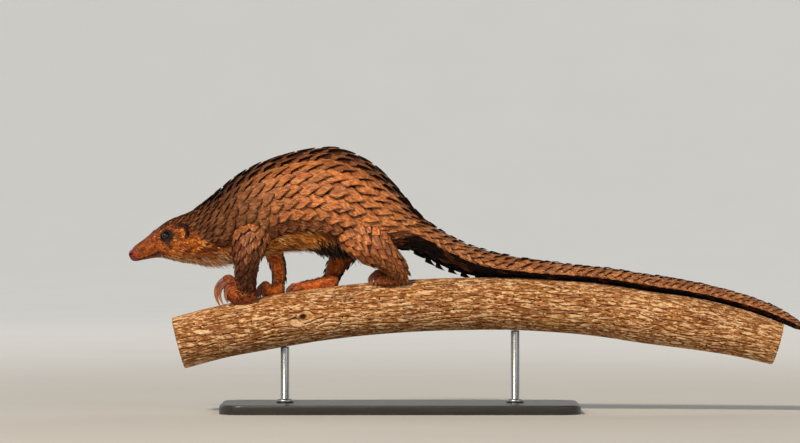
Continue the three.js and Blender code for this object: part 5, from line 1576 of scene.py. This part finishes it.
class PangolinColours(bpy.types.PropertyGroup):
    scale_warm: hue("Warm horn", "#bb6a34", "Scales on the back and flanks")
    scale_grey: hue("Grey horn", "#8a5c3c", "Scales on the tail and shoulders")
    scale_red: hue("Red horn", "#7a2c0e", "Scales on the lower legs and flank")
    scale_dark: hue("Growth lines", "#6a3415", "Dark lines along each scale")
    scale_pale: hue("Pale patches", "#dc9256", "Patches of lighter horn")
    # The root's colour also lays painted shade along each scale's lower side.
    scale_root_and_edge_shade: hue("Scale root", "#260e04", "Covered part and dark sides of each scale")
    # Painted shade on the underside and edges of each scale.
    scale_underside_shade: hue("Scale underside", "#140803", "Underside and edge of each scale")
    # Worn edge, which on the upper side of each tip is also a painted highlight.
    scale_worn_and_lit_edge: hue("Worn edge", "#dda06c", "Thin worn edge of each scale")
    claw_root: hue("Claw root", "#74351a", "Horn near the toe")
    claw_tip: hue("Claw tip", "#bd7848", "Horn near the point")
    claw_streak: hue("Claw streaks", "#431c0e", "Dark streaks along a claw")
    eye_pupil: hue("Pupil", "#040302", "Pupil and rim of the eye")
    eye_iris: hue("Iris", "#140a05", "Iris")
    bark_mid: hue("Bark", "#ab6c34", "Main colour of the bark's ridges")
    bark_light: hue("Light bark", "#c98c50", "Lighter ridges")
    bark_brown: hue("Brown bark", "#7c4720", "Browner patches")
    bark_pale: hue("Bleached bark", "#f2cb9a", "Bleached flecks")
    # Colour of the fissures and the knot's hollow, partly painted shade.
    bark_fissure_and_shade: hue("Fissures", "#2f160a", "Bottom of the fissures")
    base_dark: hue("Base", "#1b1917", "Stained wood of the base")
    base_grain: hue("Base grain", "#2f2a26", "Grain of the base")
    steel: hue("Steel", "#8f9194", "Rods")
    steel_light: hue("Light steel", "#b4b6b8", "Brushed lines of the rods")
    floor: hue("Floor", "#cdccc8", "Studio floor and backdrop")
    floor_shade: hue("Floor shade", "#c4c3bf", "Darker areas of the floor")


class PangolinSizes(bpy.types.PropertyGroup):
    scale_width: bpy.props.FloatProperty(
        name="Scale width", description="Width of a scale against the usual", default=0.97,
        min=0.6, max=1.3)
    scale_lift: distance("Tip lift", TIP_LIFT, 0, 0.003,
                         "How far the tip of a scale on the flank stands off")
    belly_hair: distance("Belly hair", BELLY_HAIR, 0.002, 0.02, "Length of the hair on the belly")
    tufts: bpy.props.FloatProperty(
        name="Tufts", description="Tufts of hair on a square centimetre of the belly",
        default=TUFTS, min=5, max=80)
    bark_depth: distance("Bark depth", 0.0019, 0, 0.003,
                         "Depth of the fissures between the bark's ridges")
    rod_radius: distance("Rod radius", 0.0055, 0.003, 0.0055, "Radius of the two rods of the stand")


def settings():
    """The scene's sizes and colours."""
    return bpy.context.scene.pangolin_sizes, bpy.context.scene.pangolin_colours


class PANGOLIN_OT_skin(bpy.types.Operator):
    """Builds the skin with the head's features, and the fur on it"""

    bl_idname = "pangolin.skin"
    bl_label = "Skin and fur"

    def execute(self, context):
        skin = skin_object()
        part, found = dress_skin(skin)
        finish_piece(skin, skin_material(), "furred_skin", *FLESH)
        hair = fur_material()
        make_fur(skin, part, found, settings()[0], hair)
        make_dark_fur(hair)
        return {"FINISHED"}


class PANGOLIN_OT_scales(bpy.types.Operator):
    """Builds the overlapping scales of the body, tail and legs"""

    bl_idname = "pangolin.scales"
    bl_label = "Scales"

    def execute(self, context):
        make_scales(*settings())
        return {"FINISHED"}


class PANGOLIN_OT_claws(bpy.types.Operator):
    """Builds the twenty claws"""

    bl_idname = "pangolin.claws"
    bl_label = "Claws"

    def execute(self, context):
        make_claws(settings()[1])
        return {"FINISHED"}


class PANGOLIN_OT_eyes(bpy.types.Operator):
    """Builds the two eyes"""

    bl_idname = "pangolin.eyes"
    bl_label = "Eyes"

    def execute(self, context):
        make_eyes(settings()[1])
        return {"FINISHED"}


class PANGOLIN_OT_perch(bpy.types.Operator):
    """Builds the branch with its bark and sawn ends"""

    bl_idname = "pangolin.perch"
    bl_label = "Perch"

    def execute(self, context):
        make_perch(*settings())
        return {"FINISHED"}


class PANGOLIN_OT_stand(bpy.types.Operator):
    """Builds the base and the two rods"""

    bl_idname = "pangolin.stand"
    bl_label = "Stand"

    def execute(self, context):
        make_stand(*settings())
        return {"FINISHED"}


class PANGOLIN_OT_stage(bpy.types.Operator):
    """Builds the floor, the lights and the camera"""

    bl_idname = "pangolin.stage"
    bl_label = "Stage"

    def execute(self, context):
        make_stage(settings()[1])
        return {"FINISHED"}


OPERATORS = (
    PANGOLIN_OT_skin, PANGOLIN_OT_scales, PANGOLIN_OT_claws, PANGOLIN_OT_eyes,
    PANGOLIN_OT_perch, PANGOLIN_OT_stand, PANGOLIN_OT_stage,
)


class PANGOLIN_PT_panel(bpy.types.Panel):
    """Lists the pangolin's settings and pieces"""

    bl_label = "Pangolin"
    bl_space_type = "VIEW_3D"
    bl_region_type = "UI"
    bl_category = "Pangolin"

    def draw(self, context):
        layout = self.layout
        for group in settings():
            box = layout.box()
            for name in group.__annotations__:
                box.prop(group, name)
        for operator in OPERATORS:
            layout.operator(operator.bl_idname)


CLASSES = (PangolinColours, PangolinSizes, *OPERATORS, PANGOLIN_PT_panel)


def register():
    """Makes the settings, operators and panel known to Blender."""
    for each in CLASSES:
        bpy.utils.register_class(each)
    bpy.types.Scene.pangolin_sizes = bpy.props.PointerProperty(type=PangolinSizes)
    bpy.types.Scene.pangolin_colours = bpy.props.PointerProperty(type=PangolinColours)


def unregister():
    """Takes them away again."""
    del bpy.types.Scene.pangolin_colours
    del bpy.types.Scene.pangolin_sizes
    for each in reversed(CLASSES):
        bpy.utils.unregister_class(each)


def main():
    """Builds every piece in order."""
    register()
    bpy.ops.pangolin.skin()
    bpy.ops.pangolin.scales()
    bpy.ops.pangolin.claws()
    bpy.ops.pangolin.eyes()
    bpy.ops.pangolin.perch()
    bpy.ops.pangolin.stand()
    bpy.ops.pangolin.stage()
    corners = {"cad": CAD_BOX, "visual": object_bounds()}
    boxes = {key: [[float(c) for c in corner] for corner in box] for key, box in corners.items()}


if __name__ == "__main__":
    main()
